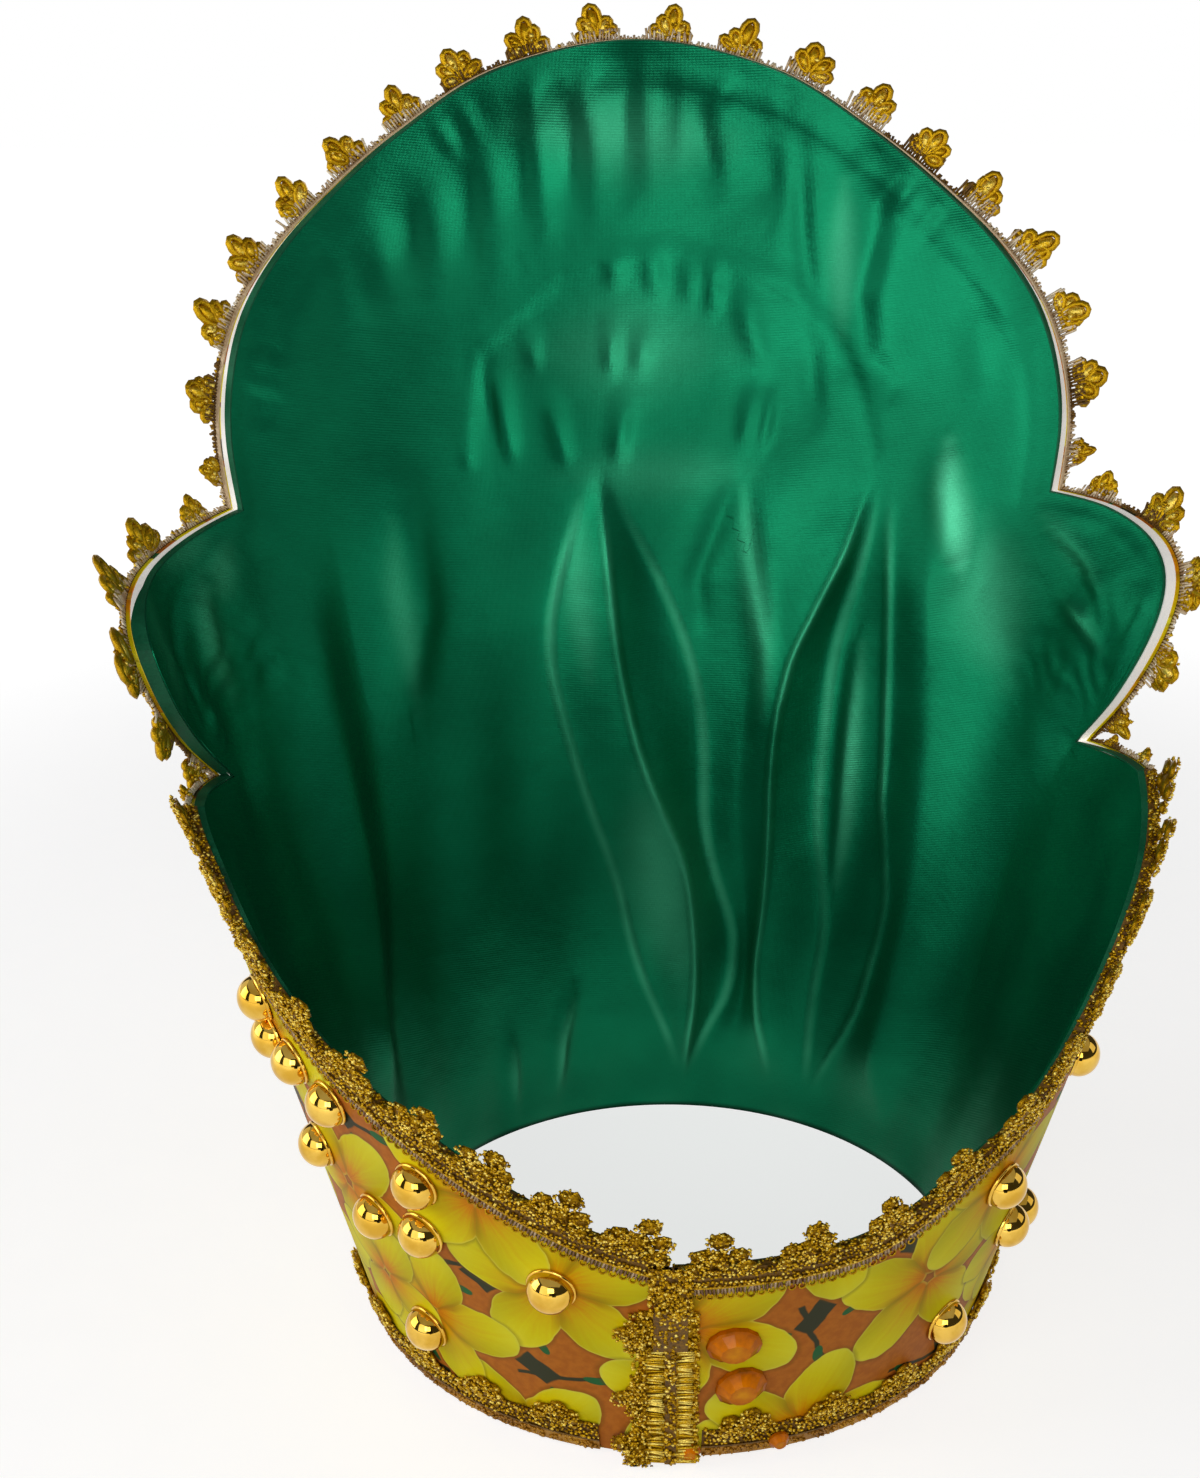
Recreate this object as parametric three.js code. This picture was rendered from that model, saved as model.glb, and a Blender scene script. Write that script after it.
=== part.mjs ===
// Ceremonial crown: a flared ring of white card with a tall arched front panel,
// lined with gathered satin, covered in printed cloth and edged with gold lace.
// The front faces +Y, and the seam that closes the ring is at the back.
import * as THREE from 'three';

// Driving dimensions in millimetres, angles in degrees from the front towards +X
const headRadiusSide = 91;
const headRadiusDepth = 90;
const flareSide = 0.267; // outward run for each millimetre of height
const flareFront = 0.072;
const flareBack = 0.234;
const seamAngle = 188;
const seamSlit = 0.2; // half the slit, in degrees
const skinFoot = 0.6; // cloth and lace stop this far above the floor
const centreShift = { x: 0, y: -4 };

// Layers of the wall, as depths outward from the lining's inner face
const layer = {
  lining: { inner: 0, outer: 1 },
  card: { inner: 1.3, outer: 4.3 },
  cover: { inner: 4.6, outer: 5.6 },
  lace: { inner: 5.9, outer: 7.1 },
};
const layerGap = 0.3; // clearance between neighbouring pieces

// Half of the arch, from the apex down to the upper notch
const archEdge = [
  { angle: 0, height: 370.5 },
  { angle: 13.3, height: 362 },
  { angle: 23.7, height: 344 },
  { angle: 32.5, height: 326 },
  { angle: 40.5, height: 308.5 },
  { angle: 47, height: 291 },
  { angle: 51.5, height: 273 },
  { angle: 54.4, height: 255 },
  { angle: 55.8, height: 234.5 },
];

// Side lobes, from the upper notch round to the lower notch
const lobeRight = [
  { angle: 55.8, height: 234.5 },
  { angle: 66.8, height: 232.5 },
  { angle: 77.6, height: 226 },
  { angle: 83.5, height: 216 },
  { angle: 84.5, height: 201 },
  { angle: 81, height: 180 },
  { angle: 75, height: 161.5 },
];
const lobeLeft = [
  { angle: -55.8, height: 234.5 },
  { angle: -68.6, height: 230 },
  { angle: -82, height: 225 },
  { angle: -92, height: 218.5 },
  { angle: -95.5, height: 208 },
  { angle: -90.5, height: 187 },
  { angle: -77.3, height: 162 },
];

// Back band, from the shoulder's corner down to the seam
const bandRight = [
  { angle: 94.6, height: 165 },
  { angle: 103, height: 157 },
  { angle: 113, height: 145 },
  { angle: 124, height: 119 },
  { angle: 134.5, height: 100 },
  { angle: 145, height: 91 },
  { angle: 156, height: 79 },
  { angle: 166, height: 74 },
  { angle: seamAngle - seamSlit, height: 72 },
];
const bandLeft = [
  { angle: -97, height: 167 },
  { angle: -105, height: 160 },
  { angle: -112, height: 142 },
  { angle: -122.7, height: 125 },
  { angle: -132, height: 113.5 },
  { angle: -141.5, height: 103.5 },
  { angle: -151, height: 93 },
  { angle: -161, height: 83 },
  { angle: seamAngle + seamSlit - 360, height: 75 },
];

// Main folds of the lining, each a soft ridge along a straight line
const folds = [
  { from: { angle: -4, height: 228 }, to: { angle: 9, height: 103 }, width: 6, rise: 1.6 },
  { from: { angle: 13, height: 228 }, to: { angle: 10, height: 107 }, width: 6, rise: 1.6 },
  { from: { angle: -14, height: 99 }, to: { angle: 9, height: 18 }, width: 7, rise: 1.5 },
  { from: { angle: 22, height: 82 }, to: { angle: 10.5, height: 22 }, width: 6, rise: 1.3 },
  { from: { angle: 37, height: 180 }, to: { angle: 45, height: 104 }, width: 7, rise: 2 },
  { from: { angle: 45, height: 104 }, to: { angle: 42.5, height: 20 }, width: 7, rise: 2 },
  { from: { angle: 23, height: 177 }, to: { angle: 21, height: 104 }, width: 6, rise: 1.8 },
  { from: { angle: 21, height: 104 }, to: { angle: 35, height: 24 }, width: 6, rise: 1.8 },
  { from: { angle: 40, height: 251 }, to: { angle: 44, height: 209 }, width: 8, rise: 1.6 },
  { from: { angle: -38, height: 182 }, to: { angle: -56, height: 50 }, width: 9, rise: 1.8 },
  { from: { angle: -22.5, height: 338 }, to: { angle: -26.5, height: 305 }, width: 5, rise: 1.4 },
  { from: { angle: -11.5, height: 347 }, to: { angle: -11.5, height: 313 }, width: 5, rise: 1.4 },
  { from: { angle: 1, height: 353 }, to: { angle: 0.5, height: 331 }, width: 5, rise: 1.4 },
  { from: { angle: 24.5, height: 331 }, to: { angle: 28, height: 265 }, width: 6, rise: 1.6 },
];

// Lace: scalloped strip with picots of a central tip between two shoulders
const picotRise = [2, 9, 13, 9]; // heights at even steps through one pitch
const laceDrop = 12; // how far the strip reaches down below the edge
const laceReach = 14; // stretch over which the strip turns a corner
const seamLaceSide = { right: 7, left: 6 };
const seamLaceTop = 58;
const bottomLaceLine = 7; // height of the line that the bottom picots stand on
const bottomLaceEnds = { left: seamAngle + 11.5 - 360, right: seamAngle - 5 };
const bottomPicots = 25;
const seamPicots = 3;
const notchPicot = 0.15; // share of the picot's height left inside a notch

// Domed studs and their places on the cover
const studRadius = 6.3;
const studRim = 0.8;
const studHeight = 6.5;
const studSides = 10;
const studPlaces = [
  { angle: -110, height: 121 },
  { angle: -109, height: 107.5 },
  { angle: -116.5, height: 107 },
  { angle: -124, height: 101 },
  { angle: -114, height: 76 },
  { angle: -138, height: 86.5 },
  { angle: -126.5, height: 64.5 },
  { angle: -136.5, height: 68 },
  { angle: -156, height: 62 },
  { angle: -131, height: 27.5 },
  { angle: 113, height: 91.5 },
  { angle: 136.8, height: 73 },
  { angle: 117, height: 42 },
  { angle: 126, height: 46.5 },
  { angle: 140, height: 26.5 },
];

// Oval cut stones, each fused with its rim
const stoneSides = 12;
const stones = [
  { name: 'stone_upper', angle: 179.2, height: 45, on: 'cover', size: [15, 12.4], turn: 4, rise: 4 },
  { name: 'stone_lower', angle: 177.6, height: 28.6, on: 'cover', size: [14.6, 13], turn: 40, rise: 4 },
  { name: 'stone_small_orange', angle: 184.9, height: 4.4, on: 'lace', size: [6, 6], turn: 0, rise: 2.4 },
  { name: 'stone_small_amber', angle: 170.6, height: 5.3, on: 'lace', size: [6, 6], turn: 0, rise: 2.4 },
];

// Stretches of the edge in order round the ring: the columns that each gives the sheets, and its
// lace, whose picots have a share of the full rise and the room that they need beside a notch
const stretches = [
  {
    edge: reversed(bandLeft),
    columns: 12,
    base: [seamAngle + seamSlit - 360, -97],
    waist: [36, 118],
    lace: { picots: 8, rise: [1.1, 0.3], room: 40 },
  },
  {
    edge: [bandLeft[0], lobeLeft.at(-1)],
    columns: 3,
    base: [-97, -77.3],
    waist: [118, 156],
    lace: { picots: 2, rise: [0.3, 0.3], room: 60 },
  },
  {
    edge: reversed(lobeLeft),
    columns: 9,
    base: [-77.3, -42],
    waist: [156, 156],
    lace: { picots: 6, rise: [0.8, 0.5], room: 25 },
  },
  {
    edge: [...mirrored(archEdge), ...archEdge.slice(1)],
    columns: 28,
    base: [-42, 42],
    waist: [156, 156],
    lace: { picots: 20, rise: [0.85, 0.85], room: 16 },
  },
  {
    edge: lobeRight,
    columns: 9,
    base: [42, 75],
    waist: [156, 156],
    lace: { picots: 5, rise: [0.75, 0.75], room: 25 },
  },
  {
    edge: [lobeRight.at(-1), bandRight[0]],
    columns: 3,
    base: [75, 94.6],
    waist: [156, 116],
    lace: { picots: 2, rise: [0.3, 0.3], room: 60 },
  },
  {
    edge: bandRight,
    columns: 13,
    base: [94.6, seamAngle - seamSlit],
    waist: [116, 36],
    lace: { picots: 10, rise: [0.3, 1.2], room: 40 },
  },
];
const notches = [archEdge.at(-1), mirrored(archEdge)[0], lobeLeft.at(-1), lobeRight.at(-1)];

// Rows of a sheet: shares of the way from foot to waist, then from waist to edge
const plainRows = { lower: 1, upper: 4 };
const foldedRows = { lower: 4, upper: 4 };

function reversed(rows) {
  return [...rows].reverse();
}

function mirrored(rows) {
  return reversed(rows).map((row) => ({ angle: -row.angle, height: row.height }));
}

// A point of the flared wall at an angle, a height and a depth through its layers
function wallPoint(angle, height, depth) {
  const turn = THREE.MathUtils.degToRad(angle);
  const flareDepth = Math.cos(turn) > 0 ? flareFront : flareBack;
  const x = (headRadiusSide + flareSide * height + depth) * Math.sin(turn);
  const y = (headRadiusDepth + flareDepth * height + depth) * Math.cos(turn);
  return new THREE.Vector3(x, y, height);
}

// Millimetres on the wall for one degree of angle and one millimetre of height
function wallScale(angle, height) {
  const here = wallPoint(angle, height, layer.cover.outer);
  const along = wallPoint(angle + 1, height, layer.cover.outer).distanceTo(here);
  const up = wallPoint(angle, height + 1, layer.cover.outer).distanceTo(here);
  return { along, up };
}

// The step from one spot to another as millimetres along and up the wall
function wallStep(from, to, scale) {
  return new THREE.Vector2((to.angle - from.angle) * scale.along, (to.height - from.height) * scale.up);
}

function wallDistance(a, b) {
  return wallPoint(a.angle, a.height, 0).distanceTo(wallPoint(b.angle, b.height, 0));
}

function edgeSpline(rows) {
  return new THREE.SplineCurve(rows.map((row) => new THREE.Vector2(row.angle, row.height)));
}

// Columns of the sheets: where each starts at the foot, bends at the waist and ends on the edge
function sheetColumns() {
  const columns = [];
  stretches.forEach((stretch, index) => {
    const spline = edgeSpline(stretch.edge);
    for (let i = index === 0 ? 0 : 1; i <= stretch.columns; i += 1) {
      const share = i / stretch.columns;
      const end = spline.getPointAt(share);
      columns.push({
        base: THREE.MathUtils.lerp(...stretch.base, share),
        waist: THREE.MathUtils.lerp(...stretch.waist, share),
        edge: { angle: end.x, height: end.y },
      });
    }
  });
  return columns;
}

// The place on a column for one row of a sheet
function columnSpot(column, row, rows, foot) {
  if (row <= rows.lower) {
    return { angle: column.base, height: THREE.MathUtils.lerp(foot, column.waist, row / rows.lower) };
  }
  const share = (row - rows.lower) / rows.upper;
  return {
    angle: THREE.MathUtils.lerp(column.base, column.edge.angle, share),
    height: THREE.MathUtils.lerp(column.waist, column.edge.height, share),
  };
}

// How far the lining's folds stand in from the plain wall
function foldRise(spot) {
  let rise = 0;
  for (const fold of folds) {
    const scale = wallScale(spot.angle, spot.height);
    const run = wallStep(fold.from, fold.to, scale);
    const away = wallStep(fold.from, spot, scale);
    const share = THREE.MathUtils.clamp(away.dot(run) / run.lengthSq(), 0, 1);
    const distance = away.sub(run.multiplyScalar(share)).length();
    rise = Math.max(rise, fold.rise * Math.exp(-((distance / fold.width) ** 2)));
  }
  return rise;
}

// A closed slab over a grid whose points are placed one by one: across, up and through its thickness
function bentGrid(across, up, place) {
  const points = [];
  const faces = [];
  const spot = (column, row, isInner) => 2 * (column * (up + 1) + row) + (isInner ? 1 : 0);
  const quad = (a, b, c, d) => faces.push(a, b, c, a, c, d);
  for (let column = 0; column <= across; column += 1) {
    for (let row = 0; row <= up; row += 1) {
      points.push(...place(column, row, false), ...place(column, row, true));
    }
  }
  for (let column = 0; column < across; column += 1) {
    const next = column + 1;
    quad(spot(column, 0, true), spot(column, 0, false), spot(next, 0, false), spot(next, 0, true));
    quad(spot(next, up, true), spot(next, up, false), spot(column, up, false), spot(column, up, true));
    for (let row = 0; row < up; row += 1) {
      const above = row + 1;
      faces.push(spot(column, row, true), spot(next, row, true), spot(next, above, true));
      faces.push(spot(column, row, true), spot(next, above, true), spot(column, above, true));
      faces.push(spot(next, above, false), spot(next, row, false), spot(column, row, false));
      faces.push(spot(column, above, false), spot(next, above, false), spot(column, row, false));
    }
  }
  for (let row = 0; row < up; row += 1) {
    const above = row + 1;
    const last = across;
    quad(spot(0, row, false), spot(0, row, true), spot(0, above, true), spot(0, above, false));
    quad(spot(last, above, false), spot(last, above, true), spot(last, row, true), spot(last, row, false));
  }
  const grid = new THREE.BufferGeometry();
  grid.setAttribute('position', new THREE.Float32BufferAttribute(points, 3));
  grid.setIndex(faces);
  grid.computeVertexNormals();
  return grid;
}

const columns = sheetColumns();

function wallSheet(depths, rows, foot, swell) {
  return bentGrid(columns.length - 1, rows.lower + rows.upper, (column, row, isInner) => {
    const spot = columnSpot(columns[column], row, rows, foot);
    const depth = isInner ? depths.inner - swell(spot) : depths.outer;
    return wallPoint(spot.angle, spot.height, depth);
  });
}

// A route over the wall as closely spaced spots with their distance from its start
function measuredRoute(curves) {
  const spots = [];
  const starts = [];
  const stepsPerCurve = 120;
  let distance = 0;
  curves.forEach((curve) => {
    starts.push(distance);
    for (let i = 0; i <= stepsPerCurve; i += 1) {
      const end = curve.getPointAt(i / stepsPerCurve);
      const spot = { angle: end.x, height: end.y };
      distance += spots.length === 0 ? 0 : wallDistance(spots.at(-1), spot);
      spots.push({ ...spot, distance });
    }
  });
  return { spots, starts: [...starts, distance] };
}

function routeSpot(spots, distance) {
  const wanted = THREE.MathUtils.clamp(distance, 0, spots.at(-1).distance);
  const next = Math.max(1, spots.findIndex((spot) => spot.distance >= wanted));
  const a = spots[next - 1];
  const b = spots[next];
  const share = b.distance > a.distance ? (wanted - a.distance) / (b.distance - a.distance) : 0;
  return {
    angle: THREE.MathUtils.lerp(a.angle, b.angle, share),
    height: THREE.MathUtils.lerp(a.height, b.height, share),
  };
}

// The share of a picot's height that has room beside the notches
function notchRoom(spot, room) {
  const shares = notches.map((notch) => wallDistance(spot, notch) / room);
  return THREE.MathUtils.clamp(Math.min(...shares), notchPicot, 1);
}

// Stations along a lace: their distance on the route, the picots' rise and the room it needs
function laceStations(runs, starts) {
  const stations = [];
  runs.forEach((run, index) => {
    const steps = run.lace.picots * picotRise.length;
    for (let step = index === 0 ? 0 : 1; step <= steps; step += 1) {
      stations.push({
        distance: THREE.MathUtils.lerp(starts[index], starts[index + 1], step / steps),
        rise: THREE.MathUtils.lerp(...run.lace.rise, step / steps) * picotRise[step % picotRise.length],
        room: run.lace.room,
      });
    }
  });
  return stations;
}

// A strip of lace along runs of curve: it reaches down by drop and up by lift and the picots' rise,
// and levels are the shares of its rise where the strip may bend
function laceStrip(runs, drop, lift, levels) {
  const { spots, starts } = measuredRoute(runs.map((run) => run.curve));
  const stations = laceStations(runs, starts);
  return bentGrid(stations.length - 1, levels.length, (index, row, isInner) => {
    const station = stations[index];
    const spot = routeSpot(spots, station.distance);
    const before = routeSpot(spots, station.distance - laceReach);
    const after = routeSpot(spots, station.distance + laceReach);
    const scale = wallScale(spot.angle, spot.height);
    const run = wallStep(before, after, scale).normalize();
    const rise = lift + station.rise * notchRoom(spot, station.room);
    const reach = row === 0 ? -drop : rise * levels[row - 1];
    const angle = spot.angle - (run.y * reach) / scale.along;
    const height = spot.height + (run.x * reach) / scale.up;
    return wallPoint(angle, height, isInner ? layer.lace.inner : layer.lace.outer);
  });
}

function straightCurve(from, to) {
  const start = new THREE.Vector2(from.angle, from.height);
  return new THREE.LineCurve(start, new THREE.Vector2(to.angle, to.height));
}

// A frame on the wall for a piece that stands outward: its Y axis is the wall's normal
function standOnWall(mesh, place, depth, turn) {
  const here = wallPoint(place.angle, place.height, depth);
  const along = wallPoint(place.angle + 0.5, place.height, depth).sub(here).normalize();
  const up = wallPoint(place.angle, place.height + 1, depth).sub(here).normalize();
  const out = new THREE.Vector3().crossVectors(up, along).normalize();
  along.applyAxisAngle(out, THREE.MathUtils.degToRad(turn));
  const side = new THREE.Vector3().crossVectors(along, out);
  mesh.quaternion.setFromRotationMatrix(new THREE.Matrix4().makeBasis(along, out, side));
  mesh.position.copy(here);
  return mesh;
}

function studGeometry() {
  const domeSteps = 3;
  const profile = [new THREE.Vector2(0, 0), new THREE.Vector2(studRadius, 0)];
  for (let i = 0; i <= domeSteps; i += 1) {
    const turn = (i / domeSteps) * (Math.PI / 2);
    const radius = i === domeSteps ? 0 : studRadius * Math.cos(turn);
    profile.push(new THREE.Vector2(radius, studRim + (studHeight - studRim) * Math.sin(turn)));
  }
  return new THREE.LatheGeometry(profile, studSides);
}

// Cut stone: a low rim, a girdle, a ring of facets and a flat table
function stoneGeometry(stone) {
  const profile = [
    new THREE.Vector2(0, 0),
    new THREE.Vector2(0.5, 0),
    new THREE.Vector2(0.5, stone.rise * 0.32),
    new THREE.Vector2(0.44, stone.rise * 0.42),
    new THREE.Vector2(0.27, stone.rise),
    new THREE.Vector2(0, stone.rise),
  ];
  return new THREE.LatheGeometry(profile, stoneSides).scale(stone.size[0], 1, stone.size[1]);
}

const cardMaterial = new THREE.MeshStandardMaterial({ color: 0xeeece6, roughness: 0.8, metalness: 0 });
const satinMaterial = new THREE.MeshStandardMaterial({ color: 0x0b7a50, roughness: 0.35, metalness: 0 });
const printMaterial = new THREE.MeshStandardMaterial({ color: 0xd2c31c, roughness: 0.45, metalness: 0 });
const laceMaterial = new THREE.MeshStandardMaterial({ color: 0xa37c1c, roughness: 0.4, metalness: 0.7 });
const studMaterial = new THREE.MeshStandardMaterial({ color: 0xe3ad3c, roughness: 0.12, metalness: 1 });
const stoneMaterial = new THREE.MeshStandardMaterial({ color: 0xd9730d, roughness: 0.1, metalness: 0 });

const crown = new THREE.Group();
crown.position.set(centreShift.x, centreShift.y, 0);

function addPiece(name, geometry, material) {
  const mesh = new THREE.Mesh(geometry, material);
  mesh.name = name;
  crown.add(mesh);
  return mesh;
}

const flat = () => 0;
addPiece('card_stiffener', wallSheet(layer.card, plainRows, 0, flat), cardMaterial);
addPiece('satin_lining', wallSheet(layer.lining, foldedRows, skinFoot, foldRise), satinMaterial);
addPiece('printed_cover', wallSheet(layer.cover, plainRows, skinFoot, flat), printMaterial);

const topRuns = stretches.map((stretch) => ({ curve: edgeSpline(stretch.edge), lace: stretch.lace }));
addPiece('top_lace', laceStrip(topRuns, laceDrop, 0, [0, 1]), laceMaterial);

const bottomStart = { angle: bottomLaceEnds.left, height: bottomLaceLine };
const bottomEnd = { angle: bottomLaceEnds.right, height: bottomLaceLine };
const bottomLace = { picots: bottomPicots, rise: [1, 1], room: 1 };
const bottomRun = { curve: straightCurve(bottomStart, bottomEnd), lace: bottomLace };
addPiece('bottom_lace', laceStrip([bottomRun], bottomLaceLine - skinFoot, 0, [1]), laceMaterial);

const seamStart = { angle: seamAngle, height: seamLaceTop };
const seamEnd = { angle: seamAngle, height: skinFoot };
const seamLace = { picots: seamPicots, rise: [1, 1], room: 1 };
const seamRun = { curve: straightCurve(seamStart, seamEnd), lace: seamLace };
const seamLevels = [0, 0.33, 0.67, 1];
addPiece('seam_lace', laceStrip([seamRun], seamLaceSide.right, seamLaceSide.left, seamLevels), laceMaterial);

studPlaces.forEach((place, index) => {
  const name = `stud_${String(index + 1).padStart(2, '0')}`;
  standOnWall(addPiece(name, studGeometry(), studMaterial), place, layer.cover.outer + layerGap, 0);
});

stones.forEach((stone) => {
  const seat = layer[stone.on].outer + layerGap;
  standOnWall(addPiece(stone.name, stoneGeometry(stone), stoneMaterial), stone, seat, stone.turn);
});

export default crown;
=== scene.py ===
import bpy
import bmesh
import math
import numpy as np
from mathutils import Matrix, Vector


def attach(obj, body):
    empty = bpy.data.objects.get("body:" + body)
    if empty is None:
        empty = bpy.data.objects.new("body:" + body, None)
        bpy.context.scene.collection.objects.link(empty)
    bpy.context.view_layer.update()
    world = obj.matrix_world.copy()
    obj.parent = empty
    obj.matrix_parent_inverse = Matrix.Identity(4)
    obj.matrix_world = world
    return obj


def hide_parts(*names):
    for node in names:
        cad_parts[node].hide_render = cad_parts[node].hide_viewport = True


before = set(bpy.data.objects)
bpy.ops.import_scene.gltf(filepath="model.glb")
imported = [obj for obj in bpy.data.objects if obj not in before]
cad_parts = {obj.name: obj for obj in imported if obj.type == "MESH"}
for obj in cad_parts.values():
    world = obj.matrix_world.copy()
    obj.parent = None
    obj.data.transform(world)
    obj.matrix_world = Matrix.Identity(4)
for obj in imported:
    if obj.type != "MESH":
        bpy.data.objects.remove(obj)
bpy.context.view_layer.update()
mm = 0.001
chance = np.random.default_rng(11)  # one seeded source for every small irregularity
print("frame loaded:", len(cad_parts), "nodes")

# Shape of the wall, in millimetres and degrees from the front towards +X
wall = {
    "headSide": 91.0, "headDepth": 90.0,  # inside radii at the floor
    "flareSide": 0.267, "flareFront": 0.072, "flareBack": 0.234,  # run outward per mm of height
    "flareMean": 0.16, "seam": 188.0, "foot": 0.6, "shiftY": -4.0, "sharp": 55,
    "lining": (0.0, 1.0), "card": (1.3, 4.3), "cover": (4.6, 5.6), "lace": 5.9,  # depths outward
    "rim": {"lining": (2.7, 3.4), "card": (3.6, 4.4), "cover": (4.6, 5.6)},  # thinner along the band's edge
    "pinch": 18.0, "pinchAngle": (80, 100), "pinchHeight": (178, 167),  # how deep, and where it starts
    "coneTip": 364.0, "coneTurn": 0.2425, "coneScale": 1.03, "clothUnit": 100.0,  # laid out flat as cloth
}
archHalf = [(0, 370.5), (13.3, 362), (23.7, 344), (32.5, 326), (40.5, 308.5),
            (47, 291), (51.5, 273), (54.4, 255), (55.8, 234.5)]
lobeRight = [(55.8, 234.5), (66.8, 232.5), (77.6, 226), (83.5, 216), (84.5, 201), (81, 180), (75, 161.5)]
lobeLeft = [(-77.3, 162), (-90.5, 187), (-95.5, 208), (-92, 218.5), (-82, 225), (-68.6, 230), (-55.8, 234.5)]
bandRight = [(94.6, 165), (103, 157), (113, 145), (124, 119), (134.5, 100), (145, 91), (156, 79), (166, 74),
             (187.8, 72)]
bandLeft = [(-171.8, 75), (-161, 83), (-151, 93), (-141.5, 103.5), (-132, 113.5), (-122.7, 125), (-112, 142),
            (-105, 160), (-97, 167)]
archEdge = [(-a, h) for a, h in archHalf[:0:-1]] + archHalf

# Stretches of the top edge, left of the seam round the front to the right of it
stretches = [
    {"edge": bandLeft, "columns": 12, "base": (-171.8, -97), "waist": (36, 118),
     "picots": 9, "rise": (1.3, 1.2), "room": 30},
    {"edge": [bandLeft[-1], lobeLeft[0]], "columns": 3, "base": (-97, -77.3), "waist": (118, 156),
     "picots": 2, "rise": (0.5, 0.5), "room": 40},
    {"edge": lobeLeft, "columns": 9, "base": (-77.3, -42), "waist": (156, 156),
     "picots": 6, "rise": (1.1, 1.0), "room": 16},
    {"edge": archEdge, "columns": 28, "base": (-42, 42), "waist": (156, 156),
     "picots": 20, "rise": (0.92, 0.92), "room": 16},
    {"edge": lobeRight, "columns": 9, "base": (42, 75), "waist": (156, 156),
     "picots": 5, "rise": (1.0, 1.0), "room": 16},
    {"edge": [lobeRight[-1], bandRight[0]], "columns": 3, "base": (75, 94.6), "waist": (156, 116),
     "picots": 2, "rise": (0.5, 0.5), "room": 40},
    {"edge": bandRight, "columns": 13, "base": (94.6, 187.8), "waist": (116, 36),
     "picots": 10, "rise": (1.12, 1.2), "room": 30},
]
notches = [archHalf[-1], archEdge[0], lobeLeft[0], lobeRight[-1]]


def wallPoint(angle, height, depth):
    turn = np.radians(angle)
    flare = np.where(np.cos(turn) > 0, wall["flareFront"], wall["flareBack"])
    x = (wall["headSide"] + wall["flareSide"] * height + depth) * np.sin(turn)
    y = (wall["headDepth"] + flare * height + depth) * np.cos(turn) + wall["shiftY"]
    return np.stack([x, y, height + 0 * x], axis=-1) * mm


def perDegree(height):  # mm along the wall for one degree
    return (wall["headSide"] + wall["flareMean"] * height) * math.radians(1)


def clothPlace(angle, height):  # where a spot of the wall lies on the flat cloth, in mm
    reach = (height + wall["coneTip"]) * wall["coneScale"]
    turn = np.radians(angle) * wall["coneTurn"]
    return np.stack([reach * np.sin(turn), reach * np.cos(turn)], axis=-1)


def smooth(value, low, high):
    share = np.clip((value - low) / (high - low), 0, 1)
    return share * share * (3 - 2 * share)


def runAlong(points):  # length from the first of a row of points to each of them
    return np.concatenate([[0], np.cumsum(np.linalg.norm(np.diff(points, axis=0), axis=1))])


def edgeSpots(rows, steps):  # even spots along a smooth curve through the rows
    p = np.array(rows, float)
    t = np.linspace(0, len(p) - 1, 2000)
    i = np.minimum(t.astype(int), len(p) - 2)
    f = (t - i)[:, None]
    a, b = p[i], p[i + 1]
    v, w = (b - p[np.maximum(i - 1, 0)]) / 2, (p[np.minimum(i + 2, len(p) - 1)] - a) / 2
    line = (2 * a - 2 * b + v + w) * f**3 + (3 * b - 3 * a - 2 * v - w) * f**2 + v * f + a
    run = runAlong(line)
    at = np.linspace(0, run[-1], steps + 1)
    return np.stack([np.interp(at, run, line[:, k]) for k in (0, 1)], axis=-1)


def sheetColumns(fine):  # foot angle, waist height and edge spot of every column of a sheet
    rows = []
    for n, (stretch, times) in enumerate(zip(stretches, fine)):
        steps = stretch["columns"] * times
        ends = edgeSpots(stretch["edge"], steps)
        share = np.linspace(0, 1, steps + 1)
        base = np.interp(share, (0, 1), stretch["base"])
        waist = np.interp(share, (0, 1), stretch["waist"])
        rows.append(np.column_stack([base, waist, ends])[0 if n == 0 else 1:])
    return np.concatenate(rows)


def addObject(name, data):
    made = bpy.data.objects.new(name, data)
    bpy.context.scene.collection.objects.link(made)
    return made


def meshFrom(bm, name):
    mesh = bpy.data.meshes.new(name)
    bm.to_mesh(mesh)
    bm.free()
    return mesh


def thicken(bm):  # a second skin over every face; gives its new corners
    made = bmesh.ops.extrude_face_region(bm, geom=bm.faces[:])
    return [item for item in made["geom"] if isinstance(item, bmesh.types.BMVert)]


def spin(bm, profile, steps, merge):  # turned once round the upright axis
    bmesh.ops.spin(bm, geom=profile, axis=(0, 0, 1), steps=steps, angle=2 * math.pi, use_merge=True)
    bmesh.ops.remove_doubles(bm, verts=bm.verts[:], dist=merge)
    bmesh.ops.recalc_face_normals(bm, faces=bm.faces[:])


def standing(x, y, z, at):  # a frame from its three axes and its place
    return Matrix.Translation(at) @ Matrix((x, y, z)).transposed().to_4x4()


def place(name, mesh, finishes, slot, *nodes):  # one finished piece of the crown
    piece = addObject(name, mesh)
    for finish in finishes:
        mesh.materials.append(finish)
    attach(piece, "root")
    if nodes:
        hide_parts(*nodes)
    return piece


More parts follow.
